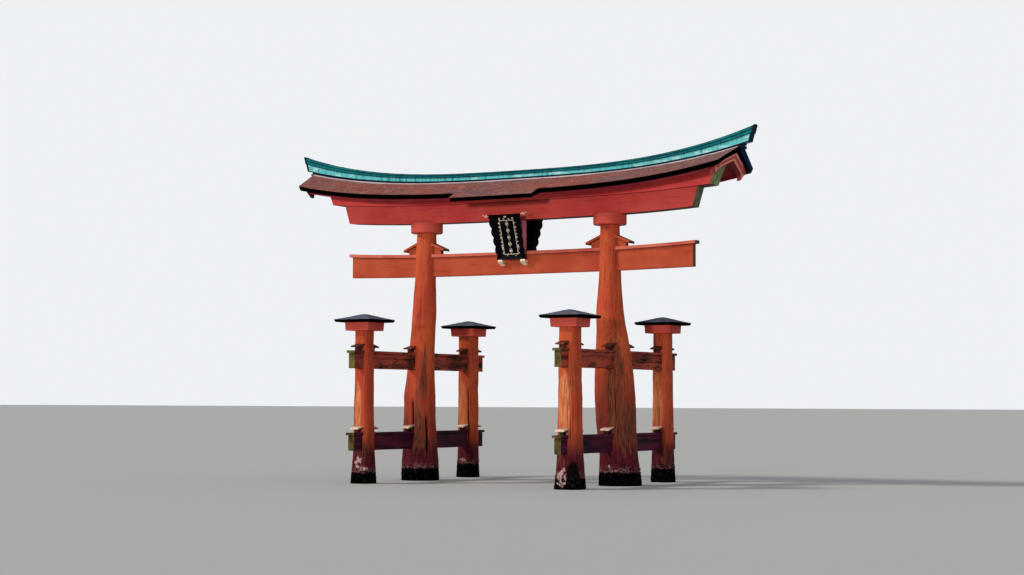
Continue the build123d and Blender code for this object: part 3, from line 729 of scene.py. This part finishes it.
def leg(node):
    """Grown trunk in place of a smooth one: swells, cracks, grooves and scars, with holes for the ties."""
    count = pillar_round if "pillar" in node else post_round
    levels = ring_levels(node)
    angles = np.linspace(-math.pi, math.pi, count, endpoint=False) + 0.0005
    centres = np.array([ring.mean(axis=0) for _, ring in levels])
    radii = np.array([radius_at(ring, centre, angles) for (_, ring), centre in zip(levels, centres)])
    heights = [z for z, _ in levels]
    z = np.linspace(0.0, heights[-1], math.ceil(heights[-1] / leg_step) + 1)
    width = round(leg_blur / leg_step)
    field, middle = (blurred(np.stack([np.interp(z, heights, column) for column in rows.T], axis=1), width)
                     for rows in (radii, centres))
    if "pillar" in node:
        field = blurred(field.T, round_blur, "wrap").T
    seed = list(tide).index(node) * 13.7
    names = ("crevice_shade", "bare", "pale", "fade_and_sunlight", "above_tide", "darkening")
    marks = {name: np.zeros(field.shape) for name in names}
    darken_from, darken_to = darkening_heights.get(node, post_darkening_heights)
    for r, level in enumerate(z):
        marks["darkening"][r] = min(max((darken_from - level) / (darken_from - darken_to), 0.0), 1.0)
        marks["above_tide"][r] = level - tide[node]
        for c, angle in enumerate(angles):
            degrees = math.degrees(angle)
            size = field[r, c]
            spot = Vector((math.cos(angle) * size, math.sin(angle) * size, level)) + Vector((seed, 0, 0))
            swell, flute, split = relief(spot)
            depth, dark = crack_depth * split, 0.55 * split
            for at, high, low, half, deep in grooves.get(node, ()):
                wander = 2.5 * noise.noise(Vector((at, level * 0.9, seed)))
                near = 1 - turn_between(degrees, at + wander) / half
                if near > 0:
                    near = min(1.0, near * 1.6) * smooth(level, low - 0.1, low + 0.3)
                    near *= smooth(high + 0.1 - level, 0.0, 0.5)
                    depth += deep * near
                    dark = max(dark, min(1.0, near * 1.3))
            for kind, at, high, half, tall in patches.get(node, ()):
                away = math.hypot(turn_between(degrees, at) / half, (level - high) / tall)
                inside = patch_reach - away
                share = smooth(inside, 0.0, 0.8)
                if kind == "swell":
                    depth -= bulge_height * share
                elif kind == "hole":
                    depth += hole_depth * share
                    dark = max(dark, smooth(inside, 0.05, 0.45))
                else:
                    marks[kind][r, c] = max(marks[kind][r, c], share)
            field[r, c] = size + swell + flute - depth
            # This mark is painted shade: it darkens the cracks, grooves and holes
            marks["crevice_shade"][r, c] = min(1.0, dark)
    trunk = Batch()
    trunk.add([[(middle[r, 0] + field[r, c] * math.cos(a), middle[r, 1] + field[r, c] * math.sin(a), level)
                for c, a in enumerate(angles)] for r, level in enumerate(z)])
    mesh = trunk.mesh("grown_" + node)
    for name, values in marks.items():
        mark = mesh.attributes.new(name, "FLOAT", "POINT")
        mark.data.foreach_set("value", values.ravel().astype(np.float32))
    make_piece("grown_" + node, with_holes(mesh, node), "trunk_paint", slots[node], (node,), 50.0)


def with_holes(mesh, node):
    """Mesh of a leg less the room for its ties."""
    room = Batch()
    side = node.split("_")[-1]
    for tie in ("upper_side_tie_" + side, "lower_side_tie_" + side):
        (x0, y0, z0), (x1, y1, z1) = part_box(tie)
        x0, z0, x1, z1 = x0 - tie_room, z0 - tie_room, x1 + tie_room, z1 + tie_room
        room.add([[(x0, y, z0), (x1, y, z0), (x1, y, z1), (x0, y, z1)] for y in (y0 - 1, y1 + 1)])
    for part in ("main_tie", "main_tie_cap") if "pillar" in node else ():
        points = corners(part)
        low, high = Bow(points, -1), Bow(points, 1)
        y0, y1 = points[:, 1].min() - tie_room, points[:, 1].max() + tie_room
        reach = points[:, 0].max() + 1
        rings = []
        for x in np.linspace(-reach, reach, 30):
            z0, z1 = low(x) - tie_room, high(x) + tie_room
            rings.append([(x, y0, z0), (x, y1, z0), (x, y1, z1), (x, y0, z1)])
        room.add(rings)
    body, cutter = place("body", mesh), place("cutter", room.mesh("cutter"))
    change = body.modifiers.new("holes", "BOOLEAN")
    change.object = cutter
    change.operation = "DIFFERENCE"
    change.solver = "EXACT"
    change.use_self = True
    cut = bpy.data.meshes.new_from_object(body.evaluated_get(bpy.context.evaluated_depsgraph_get()))
    cut.materials.clear()
    for thing in (body, cutter):
        bpy.data.objects.remove(thing)
    return cut


def barnacles():
    """Small cones that crowd the wet foot of each leg."""
    batch = Batch()
    up = Vector((0, 0, 1))
    for node, wet in tide.items():
        lowest = ring_levels(node)[:2]
        centre = lowest[0][1].mean(axis=0)
        for _ in range(barnacle_count):
            angle = random.uniform(-math.pi, math.pi)
            size = random.uniform(*barnacle_size)
            z = size + wet * random.random() ** 0.8 * 1.3
            radii = [radius_at(ring, ring.mean(axis=0), [angle])[0] for _, ring in lowest]
            radius = np.interp(z, [level for level, _ in lowest], radii)
            out = Vector((math.cos(angle), math.sin(angle), 0))
            side = up.cross(out)
            at = Vector((centre[0], centre[1], z)) + out * (radius - 0.02)
            rings = []
            for share, lift in ((1.0, 0.0), (0.55, 0.8), (0.25, 0.7)):
                middle = at + out * (0.01 + size * lift)
                rings.append([middle + (side * math.cos(t) + up * math.sin(t)) * size * share
                              for t in np.linspace(0, 2 * math.pi, 6, endpoint=False)])
            batch.add(rings)
    batch.finish("barnacles", "shell_grey", "vermilion_trunk")


# Beams


def soft_outline(half, soft, rows):
    """Section of a beam with soft edges: points as depth, share of the height and offset."""
    across = np.linspace(-half + soft, half - soft, 5)
    bend = 0.3 * soft
    right = [(half - bend, 0.0, bend), (half, 0.0, soft)]
    right += [(half, share, 0.0) for share in np.linspace(0, 1, rows + 2)[1:-1]]
    right += [(half, 1.0, -soft), (half - bend, 1.0, -bend)]
    left = [(-y, share, offset) for y, share, offset in right[::-1]]
    return [(y, 0.0, 0.0) for y in across] + right + [(y, 1.0, 0.0) for y in across[::-1]] + left


def aged_beam(node, look, rings):
    """Beam with a new skin, which stands for a CAD node."""
    batch = Batch()
    batch.add(rings)
    batch.finish("aged_" + node, look, slots[node], (node,))


def long_beam(node, look, soft=0.022, peak=0.0, dent=0.006, size=0.8):
    """Bowed beam with soft edges and dents of a size. A peak raises the middle of its top."""
    points = corners(node)
    half = points[:, 1].max()
    plain = between(Bow(points, -1), Bow(points[np.abs(points[:, 1]) > 0.9 * half], 1))

    def height(x, spot):
        raised = peak * (1 - abs(spot[0]) / half) if spot[1] == 1.0 else 0.0
        return plain(x, spot) + raised

    rings = bowed_rings(end_line(node), soft_outline(half, soft, 6), height, 0.2)
    for ring in rings:
        middle = sum((p.z for p in ring)) / len(ring)
        for p in ring:
            spot = Vector((p.x * 0.5, p.y, p.z)) / size
            p.y += math.copysign(dent, p.y) * noise.noise(spot)
            p.z += math.copysign(dent, p.z - middle) * noise.noise(spot + Vector((9.1, 3.3, 5.7)))
    aged_beam(node, look, rings)


def cross_beam(node, look, dent=0.010):
    """Straight side tie with a worn, furrowed surface."""
    (x0, y0, z0), (x1, y1, z1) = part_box(node)
    centre = (x0 + x1) / 2
    outline = soft_outline((x1 - x0) / 2, 0.03, 7)
    rings = []
    for y in np.linspace(y0, y1, 90):
        ring = []
        for across, share, offset in outline:
            z = z0 + (z1 - z0) * share + offset
            spot = Vector((across * 4, y * 0.8, z * 4))
            wear = dent * (noise.noise(spot) + 0.6 * noise.noise(spot * 2.7)) - 0.4 * dent
            rise = dent * noise.noise(spot + Vector((5, 5, 5))) - 0.4 * dent
            x = centre + across + math.copysign(wear, across * wear)
            ring.append((x, y, z + (rise if share > 0.5 else -rise)))
        rings.append(ring)
    aged_beam(node, look, rings)


# Bark roof


class Roof:
    """Shape of the bark roof, read from the frame. Levels hold at mid length, depths from the crest."""

    def __init__(self):
        points = corners("bark_roof_front")
        self.bend = Bow(points[np.abs(points[:, 1]) < 1e-3], 1).bend
        self.lean, self.start = end_line("bark_roof_front")
        section = {}
        for x, y, z in end_points("bark_roof_front"):
            section.setdefault(round(-y, 2), []).append(z - self.lift(x))
        depths = sorted(section)
        self.eave = depths[-1]
        self.edge = depths[-2]
        self.tops = [(d, max(section[d])) for d in depths if d != self.edge]
        self.lows = [(d, min(section[d])) for d in depths if len(section[d]) > 1 or d == self.edge]
        self.outer = -points[:, 1].min()
        porch = points[np.abs(points[:, 1] + self.outer) < 2e-3]
        self.porch_half = np.abs(porch[:, 0]).max()
        self.porch_low = max(z - self.lift(x) for x, _, z in porch)
        beyond = points[points[:, 1] < -self.eave - 0.05]
        self.porch_thick = self.porch_low - min(z - self.lift(x) for x, _, z in beyond)
        self.eave_top = self.tops[-1][1]
        self.thick = self.eave_top - self.low(self.edge)

    def top(self, depth):
        """Level of the bark's top."""
        if depth > self.eave:
            share = (depth - self.eave) / (self.outer - self.eave)
            return self.eave_top + (self.porch_low - self.eave_top) * share
        return float(np.interp(depth, *zip(*self.tops)))

    def low(self, depth):
        """Level of the bark's underside."""
        return float(np.interp(depth, *zip(*self.lows)))

    def lift(self, x):
        """Rise of the roof towards its ends."""
        return self.bend * abs(x) ** 3

    def half(self, level):
        """Half length of the roof along a line at a level."""
        x = self.start
        for _ in range(6):
            x = self.start + self.lean * (level + self.lift(x))
        return x


roof = Roof()


def shingles(sign, side):
    """Courses of bark on one slope, laid from the eave up. The front slope has the deeper eave."""
    batch = Batch()
    eave = roof.outer if side == "front" else roof.eave
    depth = eave + eave_overhang
    while depth > last_course:
        upper = max(depth - course_exposure * course_lap, last_course - 0.1)
        level, level_up = roof.top(min(depth, eave)), roof.top(upper)
        if depth > roof.eave + eave_overhang:
            half = half_up = roof.porch_half + 0.06
        else:
            half, half_up = roof.half(level), roof.half(level_up)
        marks = uneven_marks(max(3, round(2 * half / shingle_length)), shingle_wander)
        for a, b in zip(marks, marks[1:]):
            ragged = random.uniform(*shingle_ragged)
            raised = random.uniform(*shingle_raise)
            butt = shingle_butt * random.uniform(*butt_uneven)
            rings = []
            for rise in (raised, raised + butt):
                ends = [(x, sign * (depth - ragged), level + roof.lift(x) + rise)
                        for x in (a * half, b * half)]
                heads = [(x, sign * upper, level_up + roof.lift(x) + (rise - raised) * 0.4 + 0.002)
                         for x in (b * half_up, a * half_up)]
                rings.append(ends + heads)
            batch.add(rings)
        depth -= course_exposure
    batch.finish("bark_courses_" + side, "bark_brown", "bark", crease=20.0)


def eave_edges():
    """Cut edge of the bark along the eaves, in thin layers that stand out unevenly."""
    batch = Batch()
    undercut = roof.eave - roof.edge
    spans = [(sign, roof.eave, roof.eave_top, roof.thick, None) for sign in (-1, 1)]
    spans.append((-1, roof.outer, roof.porch_low, roof.porch_thick, roof.porch_half))
    for sign, depth, level, thick, half in spans:
        layer = thick / edge_layers
        for k in range(edge_layers):
            y = depth - undercut * (k + 0.5) / edge_layers
            z = level - layer * (k + 1)
            reach = half or roof.half(z + layer)
            path = []
            for x in np.linspace(-reach, reach, max(4, round(2 * reach / 0.55))):
                proud = 0.012 + 0.010 * noise.noise(Vector((x * 1.3, k * 7.1, depth)))
                path.append(Vector((x, sign * (y - 0.03 + proud), z + roof.lift(x) + 0.002)))
            batch.add(strip(path, Vector((0, sign * 0.03, 0)), Vector((0, 0, layer * 0.94))))
    batch.finish("eave_layers", "bark_edge", "bark")


def verge_edges():
    """Cut edge of the bark along the gables, in layers that follow the slope."""
    depths = {d for d, _ in roof.tops + roof.lows if d <= roof.edge} | set(np.linspace(0, roof.edge, 7))
    layer = (roof.top(0.7) - roof.low(0.7)) / edge_layers
    # The rear side's navy edge look is painted shade tinted by sky light
    for sign, side, look in ((-1, "front", "bark_edge"), (1, "rear", "verge_edge")):
        batch = Batch()
        for end in (-1, 1):
            for k in range(edge_layers):
                path = []
                for d in sorted(depths):
                    top, low = roof.top(d), roof.low(d)
                    level = top - (top - low) * (k + 1) / edge_layers
                    x = roof.half(level) + 0.004 + 0.010 * noise.noise(Vector((d * 2, k * 5.3, end)))
                    path.append(Vector((end * (x - 0.02), sign * d, level + roof.lift(x))))
                batch.add(strip(path, Vector((end * 0.03, 0, 0)), Vector((0, 0, layer * 0.93))))
        batch.finish("verge_layers_" + side, look, "bark")


# Ridge


def ridge_section(node):
    """Bows, half width and end line of one layer of the ridge."""
    points = corners(node)
    return Bow(points, -1), Bow(points, 1), points[:, 1].max(), end_line(node)


def ridge_bars(name, look, line, height, outlines, step, stands_for=(), crease=38.0):
    """Piece of the ridge made of bars that bow with it, one for each outline."""
    batch = Batch()
    for outline in outlines:
        batch.add(bowed_rings(line, outline, height, step))
    batch.finish(name, look, "green_copper", stands_for, crease)


def cross_bar(x, section, height, half):
    """Rings of a bar that lies across the ridge."""
    return [[Vector((x + dx, spot[0], height(x, spot))) for spot in section] for dx in (-half, half)]


def ridge_cap():
    """Top layer with rounded shoulders, beads along it and seams across it."""
    low, high, half, line = ridge_section("ridge_cap")
    height = between(low, high)
    right = [(half, 0.0, 0.0), (half, 0.0, 0.03), (half * 0.97, 0.5, 0.0), (half * 0.95, 1.0, -0.05),
             (half * 0.84, 1.0, -0.015), (half * 0.4, 1.0, -0.004)]
    left = [(-y, share, offset) for y, share, offset in right]
    outline = [left[0], (0.0, 0.0, 0.0), *right, (0.0, 1.0, 0.0), *left[:0:-1]]
    ridge_bars("ridge_crown", "copper_cap", line, height, [outline], 0.25, ("ridge_cap",), 50.0)

    beads = []
    for y0, y1 in ((-half * 0.90, -half * 0.78), (half * 0.78, half * 0.90)):
        beads.append([(y0, 1.0, -0.028), (y1, 1.0, -0.028), (y1, 1.0, -0.004), (y0, 1.0, -0.004)])
    for side in (-1, 1):
        for share, face in ((0.0, half), (0.52, 0.97 * half)):
            inner, outer = side * (face - 0.004), side * (face + 0.022)
            beads.append([(inner, share, 0.0), (outer, share, 0.004), (outer, share, 0.030),
                          (inner, share, 0.036)])
    ridge_bars("ridge_beads", "copper_dark", line, height, beads, 0.4)

    seams = Batch()
    rows = ((1.0, 0.06, 0.0), (0.97, 0.5, 0.0), (0.95, 1.0, -0.038), (0.84, 1.0, 0.004))
    section = [(half * wide + 0.010, share, offset) for wide, share, offset in rows]
    section += [(-y, share, offset) for y, share, offset in section[::-1]]
    count = round((line[1] + line[0] * high(12.0)) / seam_pitch)
    for k in range(-count + 1, count):
        seams.add(cross_bar(k * seam_pitch, section, height, seam_half))
    seams.finish("ridge_seams", "copper_cap", "green_copper")


def ridge_band():
    """Main band of the ridge with its lips, drip strips and battens."""
    low, high, half_lip, line = ridge_section("ridge_body")
    height = between(low, high)
    points = corners("ridge_body")
    band_half = sorted({round(abs(y), 3) for y in points[:, 1]})[0]
    outline = [(-band_half, 0.0, 0.0)] + [(band_half, share, 0.0) for share in (0.0, 0.35, 0.7, 1.0)]
    outline += [(-band_half, share, 0.0) for share in (1.0, 0.7, 0.35)]
    ridge_bars("ridge_band", "copper_body", line, height, [outline], 0.25, ("ridge_body",))

    lip_height = between(low, Bow(points[np.abs(np.abs(points[:, 1]) - half_lip) < 2e-3], 1))
    lip = ((band_half - 0.01, 0.0, 0.0), (half_lip - 0.01, 0.0, 0.0), (half_lip, 0.3, 0.0),
           (half_lip, 0.7, 0.0), (half_lip - 0.01, 1.0, 0.0), (band_half - 0.01, 1.0, 0.006))
    drip = ((band_half - 0.01, 0.0, -0.006), (half_lip + 0.004, 0.0, -0.006),
            (half_lip + 0.007, 0.0, drip_tall), (band_half - 0.01, 0.0, drip_tall + 0.004))
    lips, drips = ([[(side * y, share, offset) for y, share, offset in bar] for side in (-1, 1)]
                   for bar in (lip, drip))
    ridge_bars("ridge_lip", "copper_lip", line, lip_height, lips, 0.25, crease=60.0)
    ridge_bars("ridge_drip", "copper_dark", line, lip_height, drips, 0.25)

    battens = Batch()
    count = int((line[1] + line[0] * low(12.0)) / batten_pitch)
    for k in range(-count, count + 1):
        x = k * batten_pitch + random.uniform(-0.02, 0.02)
        for side in (-1, 1):
            y0, y1 = side * (band_half - 0.004), side * (band_half + 0.012)
            section = ((y0, 0.0, 0.05), (y1, 0.0, 0.055), (y1, 1.0, -0.012), (y0, 1.0, -0.004))
            battens.add(cross_bar(x, section, height, batten_half))
    battens.finish("ridge_battens", "copper_body", "green_copper")


def ridge_ends():
    """Dark end plates with a raised rim on the tips of the ridge; their dark tone is painted shade of the end
    faces.
    """
    batch = Batch()
    for node, grow, thick in plate_rows:
        low, high, half, (lean, start) = ridge_section(node)
        half += grow
        for end in (-1, 1):
            tip = start + lean * high(12.3)
            z0, z1 = low(tip) - 0.4 * grow, high(tip) + 0.4 * grow
            rings = []
            for out in (-thick, 0.012):
                ring = []
                for y, z in ((-half, z0), (half, z0), (half, z1 - 0.04), (half * 0.8, z1), (-half * 0.8, z1),
                             (-half, z1 - 0.04)):
                    x = start + lean * z + out
                    ring.append(Vector((end * x, y, z + low(x) - low(tip))))
                rings.append(ring)
            batch.add(rings)
            if node in ("ridge_cap", "ridge_body"):
                wide, narrow = half * 0.86, half * 0.7
                outline = ((-wide, z0 + 0.02), (wide, z0 + 0.02), (wide, z1 - 0.06), (narrow, z1 - 0.02),
                           (-narrow, z1 - 0.02), (-wide, z1 - 0.06), (-wide, z0 + 0.02))
                rim = [Vector((end * (start + lean * z + 0.016), y, z)) for y, z in outline]
                batch.add(tube(rim, [0.010] * len(rim), 5))
    batch.finish("ridge_end_plates", "copper_dark", "green_copper")


# Gable boards


def barge_trim():
    """Pink mouldings along both edges of each gable board."""
    batch = Batch()
    for node, end in (("barge_boards_left", -1), ("barge_boards_right", 1)):
        lean, start = end_line(node, end)
        outline = {}
        for x, y, z in end_points(node, end):
            outline.setdefault(round(abs(y), 2), []).append(z - roof.lift(x))
        depths = sorted(d for d in outline if len(outline[d]) > 1)
        tops, lows = ([pick(outline[d]) for d in depths] for pick in (max, min))
        for sign in (-1, 1):
            for line, lift in ((tops, -moulding_tall - 0.004), (lows, 0.004)):
                path = []
                for d in np.linspace(depths[0], depths[-1], 7):
                    level = float(np.interp(d, depths, line)) + lift
                    x = start
                    for _ in range(5):
                        x = start + lean * (level + roof.lift(x))
                    path.append(Vector((end * (x - 0.01), sign * d, level + roof.lift(x))))
                batch.add(strip(path, Vector((end * moulding_thick, 0, 0)),
                                Vector((end * lean * moulding_tall, 0, moulding_tall))))
    batch.finish("barge_mouldings", "trim_paint", "pink_boards")


# Little roofs on the posts


def square(centre, half, z):
    """Level square ring."""
    return [Vector((centre[0] + x * half, centre[1] + y * half, z))
            for x, y in ((-1, -1), (1, -1), (1, 1), (-1, 1))]


def post_roof_shingles():
    """Courses of small boards on the four slopes of each post roof, with a layered eave."""
    batch, edge = Batch(), Batch()
    for _, _, own in quarters("post_roofs"):
        centre = (own.min(axis=0) + own.max(axis=0)) / 2
        rows = [(z, np.abs(own[np.abs(own[:, 2] - z) < 1e-3][:, 0] - centre[0]).max())
                for z in sorted({round(v, 4) for v in own[:, 2]})]
        (low_z, low_half), (eave_z, eave_half) = rows[:2]
        levels, halves = zip(*rows[:0:-1])
        for face in range(4):
            turn = Quaternion((0, 0, 1), face * math.pi / 2)
            for c in range(post_courses):
                half = eave_half * (1 - c / post_courses) + 0.012
                half_up = max(eave_half * (1 - (c + 1.5) / post_courses), 0.03)
                marks = uneven_marks(max(1, round(2 * half / post_board)), post_wander)
                z, z_up = (float(np.interp(h, halves, levels)) for h in (half, half_up))
                for a, b in zip(marks, marks[1:]):
                    butt = random.uniform(*post_butt)
                    ragged = random.uniform(*post_ragged)
                    rings = []
                    for rise in (0.003, 0.003 + butt):
                        near, far = (-half - ragged, z + rise), (-half_up, z_up + rise * 0.5)
                        spots = ((a * half, *near), (b * half, *near),
                                 (b * half_up, *far), (a * half_up, *far))
                        turned = [(turn @ Vector((x, y, 0)), level) for x, y, level in spots]
                        rings.append([(centre[0] + p.x, centre[1] + p.y, level) for p, level in turned])
                    batch.add(rings)
        tall = (eave_z - low_z) / post_layers * 0.8
        for k in range(post_layers):
            share = k / post_layers
            ring = square(centre, low_half + (eave_half - low_half) * share + 0.006,
                          low_z + (eave_z - low_z) * share)
            edge.add([ring, [p + Vector((0, 0, tall)) for p in ring]])
        edge.add([square(centre, half, z) for half, z in
                  ((low_half, low_z - 0.006), (eave_half + 0.002, eave_z - 0.065),
                   (eave_half + 0.014, eave_z + 0.002), (eave_half - 0.02, eave_z + 0.006))])
    batch.finish("post_roof_courses", "post_roof_grey", "grey_roof_boards", crease=20.0)
    edge.finish("post_roof_edges", "bark_edge", "grey_roof_boards")


# Plaques


class GiltWork(Batch):
    """Gilt shapes on the front or rear plaque, placed from the middle of the panel's foot."""

    def __init__(self, side):
        super().__init__()
        points = corners("front_plaque_panel")
        rows = points[np.argsort(points[:, 2])]
        top = rows[-4:][np.argsort(rows[-4:][:, 1])][:2]
        self.foot = Vector(rows[:2].mean(axis=0))
        self.up = Vector(top.mean(axis=0)) - self.foot
        self.height = self.up.length
        self.up.normalize()
        self.out = Vector((1, 0, 0)).cross(self.up)
        self.half = points[:, 0].max()
        self.side = side

    def at(self, x, up, out=0.0):
        """Point on the plaque: across, up from the panel's foot and out from its face."""
        spot = self.foot + self.up * up + self.out * out + Vector((x, 0, 0))
        if self.side > 0:
            spot.x, spot.y = -spot.x, -spot.y
        return spot

    def rosette(self, x, up, radius, petals, out=0.0, tall=0.03, stretch=1.0):
        """Raised flower with a number of petals."""
        rings = []
        for share, lift in ((1.0, 0.0), (0.92, 0.7), (0.45, 0.45), (0.30, 1.0), (0.10, 1.15)):
            ring = []
            for i in range(petals * 6):
                angle = 2 * math.pi * i / (petals * 6)
                wave = 1 - 0.28 * share * abs(math.sin(petals * angle / 2)) ** 3
                ring.append(self.at(x + radius * share * wave * math.cos(angle),
                                    up + radius * stretch * share * wave * math.sin(angle),
                                    out + tall * lift))
            rings.append(ring)
        self.add(rings)

    def lozenge(self, x, up, wide, high):
        """Thin bar bent to a lozenge."""
        route = [self.at(x + wide * math.cos(k * math.pi / 2), up + high * math.sin(k * math.pi / 2), 0.008)
                 for k in range(5)]
        self.add(tube(route, [0.014] * len(route)))

    def scroll(self, x, up, size, turn, hand, out=0.0):
        """Tapered spiral."""
        route, radii = [], []
        for share in (k / 16 for k in range(17)):
            angle = turn + hand * share * 1.6 * 2 * math.pi
            reach = size * (1 - 0.86 * share)
            route.append(self.at(x + reach * math.cos(angle), up + reach * math.sin(angle),
                                 out + 0.3 * size * share))
            radii.append(size * (0.16 + 0.10 * (1 - share)))
        self.add(tube(route, radii))


def plaque_ornament(side, name):
    """Gilt work of one plaque: inner frame, column of flowers, scrolls, clouds and finial."""
    work = GiltWork(side)
    half, high = work.half, work.height
    reach, low, top = half - 0.05, 0.03, high - 0.12
    size, tall = 0.012, 0.03
    bar = ((-1, 0), (1, 0), (0.7, tall), (-0.7, tall))
    for x in (-reach, reach):
        work.add([[work.at(x + dx * size, up, dy) for dx, dy in bar] for up in (low - size, top + size)])
    for up in (low, top):
        work.add([[work.at(x, up + dx * size, dy) for dx, dy in bar] for x in (-reach - size, reach + size)])
    for k in range(5):
        up = low + (top - low) * (k + 0.5) / 5
        work.lozenge(0, up, 0.085, 0.135)
        work.rosette(0, up, 0.048, 6)
    for sx in (-1, 1):
        for k in range(9):
            up = low + (top - low) * (k + 0.3) / 9
            work.rosette(sx * (half + 0.012), up, (0.030, 0.022, 0.036)[k % 3], 5)
        for k in range(3):
            up = low + (top - low) * (0.2 + 0.3 * k)
            work.scroll(sx * (half + 0.01), up, 0.045, math.pi / 2 * k, sx)
        work.scroll(sx * (reach - 0.02), top + 0.085, 0.055, math.pi / 2 * sx, sx)
        work.scroll(sx * reach * 0.36, top + 0.075, 0.040, 0, -sx)
        work.rosette(sx * reach * 0.62, low - 0.075, 0.034, 5)
    work.rosette(0, high + 0.10, 0.085, 8, 0.05, 0.05, 0.8)
    clouds = ((0.42, 0.16, 0.045), (0.50, 0.20, 0.050), (0.58, 0.17, 0.040), (0.66, 0.21, 0.045))
    for sx, past, rise in ((-1, 0.0, 0.0), (1, 0.15, 0.06)):
        for x, up, size in clouds:
            work.rosette(sx * (half + x + past), high + up + rise, size, 5, 0.205, 0.05, 0.7)
        work.scroll(sx * (half + 0.54 + past), high + 0.15 + rise, 0.055, 0, sx, 0.215)
    work.finish("gilt_work_" + name, "gilt", "gilt_metal", crease=55.0)


def bracket_scrolls():
    """Gilt scrolls that clothe the brackets under the plaques."""
    batch = Batch()
    for _, sy, own in quarters("plaque_feet"):
        low, high = own.min(axis=0), own.max(axis=0)
        for x in (low[0] - 0.012, high[0] + 0.012):
            for share, size in ((0.30, 0.085), (0.70, 0.065)):
                y = low[1] + (high[1] - low[1]) * (1 - share if sy < 0 else share)
                z = low[2] + (high[2] - low[2]) * (0.35 + 0.3 * share)
                route, radii = [], []
                for turn in (k / 14 for k in range(15)):
                    angle = turn * 3.2 * math.pi + share * 3
                    reach = size * (1 - 0.85 * turn)
                    route.append(Vector((x, y + reach * math.cos(angle), z + reach * math.sin(angle))))
                    radii.append(size * 0.22 * (1 - 0.4 * turn))
                batch.add(tube(route, radii))
    batch.finish("bracket_scrolls", "gilt", "gilt_metal", crease=55.0)


# Stage


def floor():
    """Plain pale floor at the water level."""
    mesh = bpy.data.meshes.new("stage_floor")
    mesh.from_pydata([tuple(p) for p in square((0, 0), floor_half, 0)], [], [(0, 1, 2, 3)])
    mesh.materials.append(Graph("floor_pale").finish(floor_tone, 0.9))
    place("stage_floor", mesh)


def sky():
    """Even soft light from all round, shown as a pale backdrop to the camera and in reflections."""
    world = bpy.data.worlds.new("studio")
    bpy.context.scene.world = world
    nodes = Nodes(world)
    light, shown = (nodes.node("Background", {"Color": tint, "Strength": strength})
                    for tint, strength in (sky_light, backdrop))
    shows = nodes.node("LightPath", output="Is Camera Ray")
    for ray in ("Is Glossy Ray", "Is Transmission Ray"):
        shows = nodes.math("MAXIMUM", shows, nodes.node("LightPath", output=ray))
    nodes.node("OutputWorld", {"Surface": nodes.node("MixShader", {0: shows, 1: light, 2: shown})})


def lamps():
    """Soft key from the left front, and a low fill that reaches under the eaves."""
    for name, direction, strength, softness, tint in light_rows:
        lamp = bpy.data.lights.new(name, "SUN")
        lamp.energy = strength
        lamp.angle = math.radians(softness)
        lamp.color = tint
        sun = place(name, lamp)
        sun.rotation_mode = "QUATERNION"
        sun.rotation_quaternion = Vector(direction).to_track_quat("-Z", "Y")


def camera():
    """Camera at the photo's viewing angle."""
    data = bpy.data.cameras.new("camera")
    data.lens = camera_lens
    data.clip_end = 3000.0
    heading, pitch = math.radians(camera_heading), math.radians(camera_pitch)
    level = math.cos(pitch)
    forward = Vector((-math.sin(heading) * level, math.cos(heading) * level, math.sin(pitch)))
    view = place("camera", data)
    view.location = camera_place
    view.rotation_mode = "QUATERNION"
    view.rotation_quaternion = (forward.to_track_quat("-Z", "Y")
                                @ Quaternion((0, 0, 1), math.radians(camera_roll)))
    bpy.context.scene.camera = view


bpy.context.scene.view_settings.view_transform = "Standard"
camera()
lamps()
sky()
floor()
dress_nodes()

for node in tide:
    leg(node)
barnacles()

long_beam("main_tie", "tie_paint")
long_beam("main_tie_cap", "board_paint", 0.012)
long_beam("lower_lintel", "lintel_paint", 0.008)
lintel_points = corners("upper_lintel")
lintel_sides = lintel_points[np.abs(lintel_points[:, 1]) > 0.45]
lintel_peak = Bow(lintel_points, 1).level - Bow(lintel_sides, 1).level
long_beam("upper_lintel", "upper_lintel_paint", 0.008, lintel_peak - 0.01)
for side in ("left", "right"):
    cross_beam("upper_side_tie_" + side, "worn_paint")
    cross_beam("lower_side_tie_" + side, "wet_timber")
for node, look in (("upper_side_tie_caps", "worn_paint"), ("lower_side_tie_caps", "wet_timber"),
                   ("upper_side_canopies", "shelter_paint"), ("lower_side_canopies", "grey_shelter"),
                   ("upper_side_wedges", "shelter_paint"), ("lower_side_wedges", "wet_timber"),
                   ("main_tie_canopies", "tie_paint"), ("main_tie_wedges", "tie_paint"),
                   ("post_blocks", "block_paint"), ("centre_strut", "strut_paint")):
    softened(node, look)

for sign, side in ((-1, "front"), (1, "rear")):
    shingles(sign, side)
eave_edges()
verge_edges()
ridge_cap()
ridge_band()
ridge_ends()
barge_trim()
post_roof_shingles()
for sign, side in ((-1, "front"), (1, "rear")):
    plaque_ornament(sign, side)
bracket_scrolls()
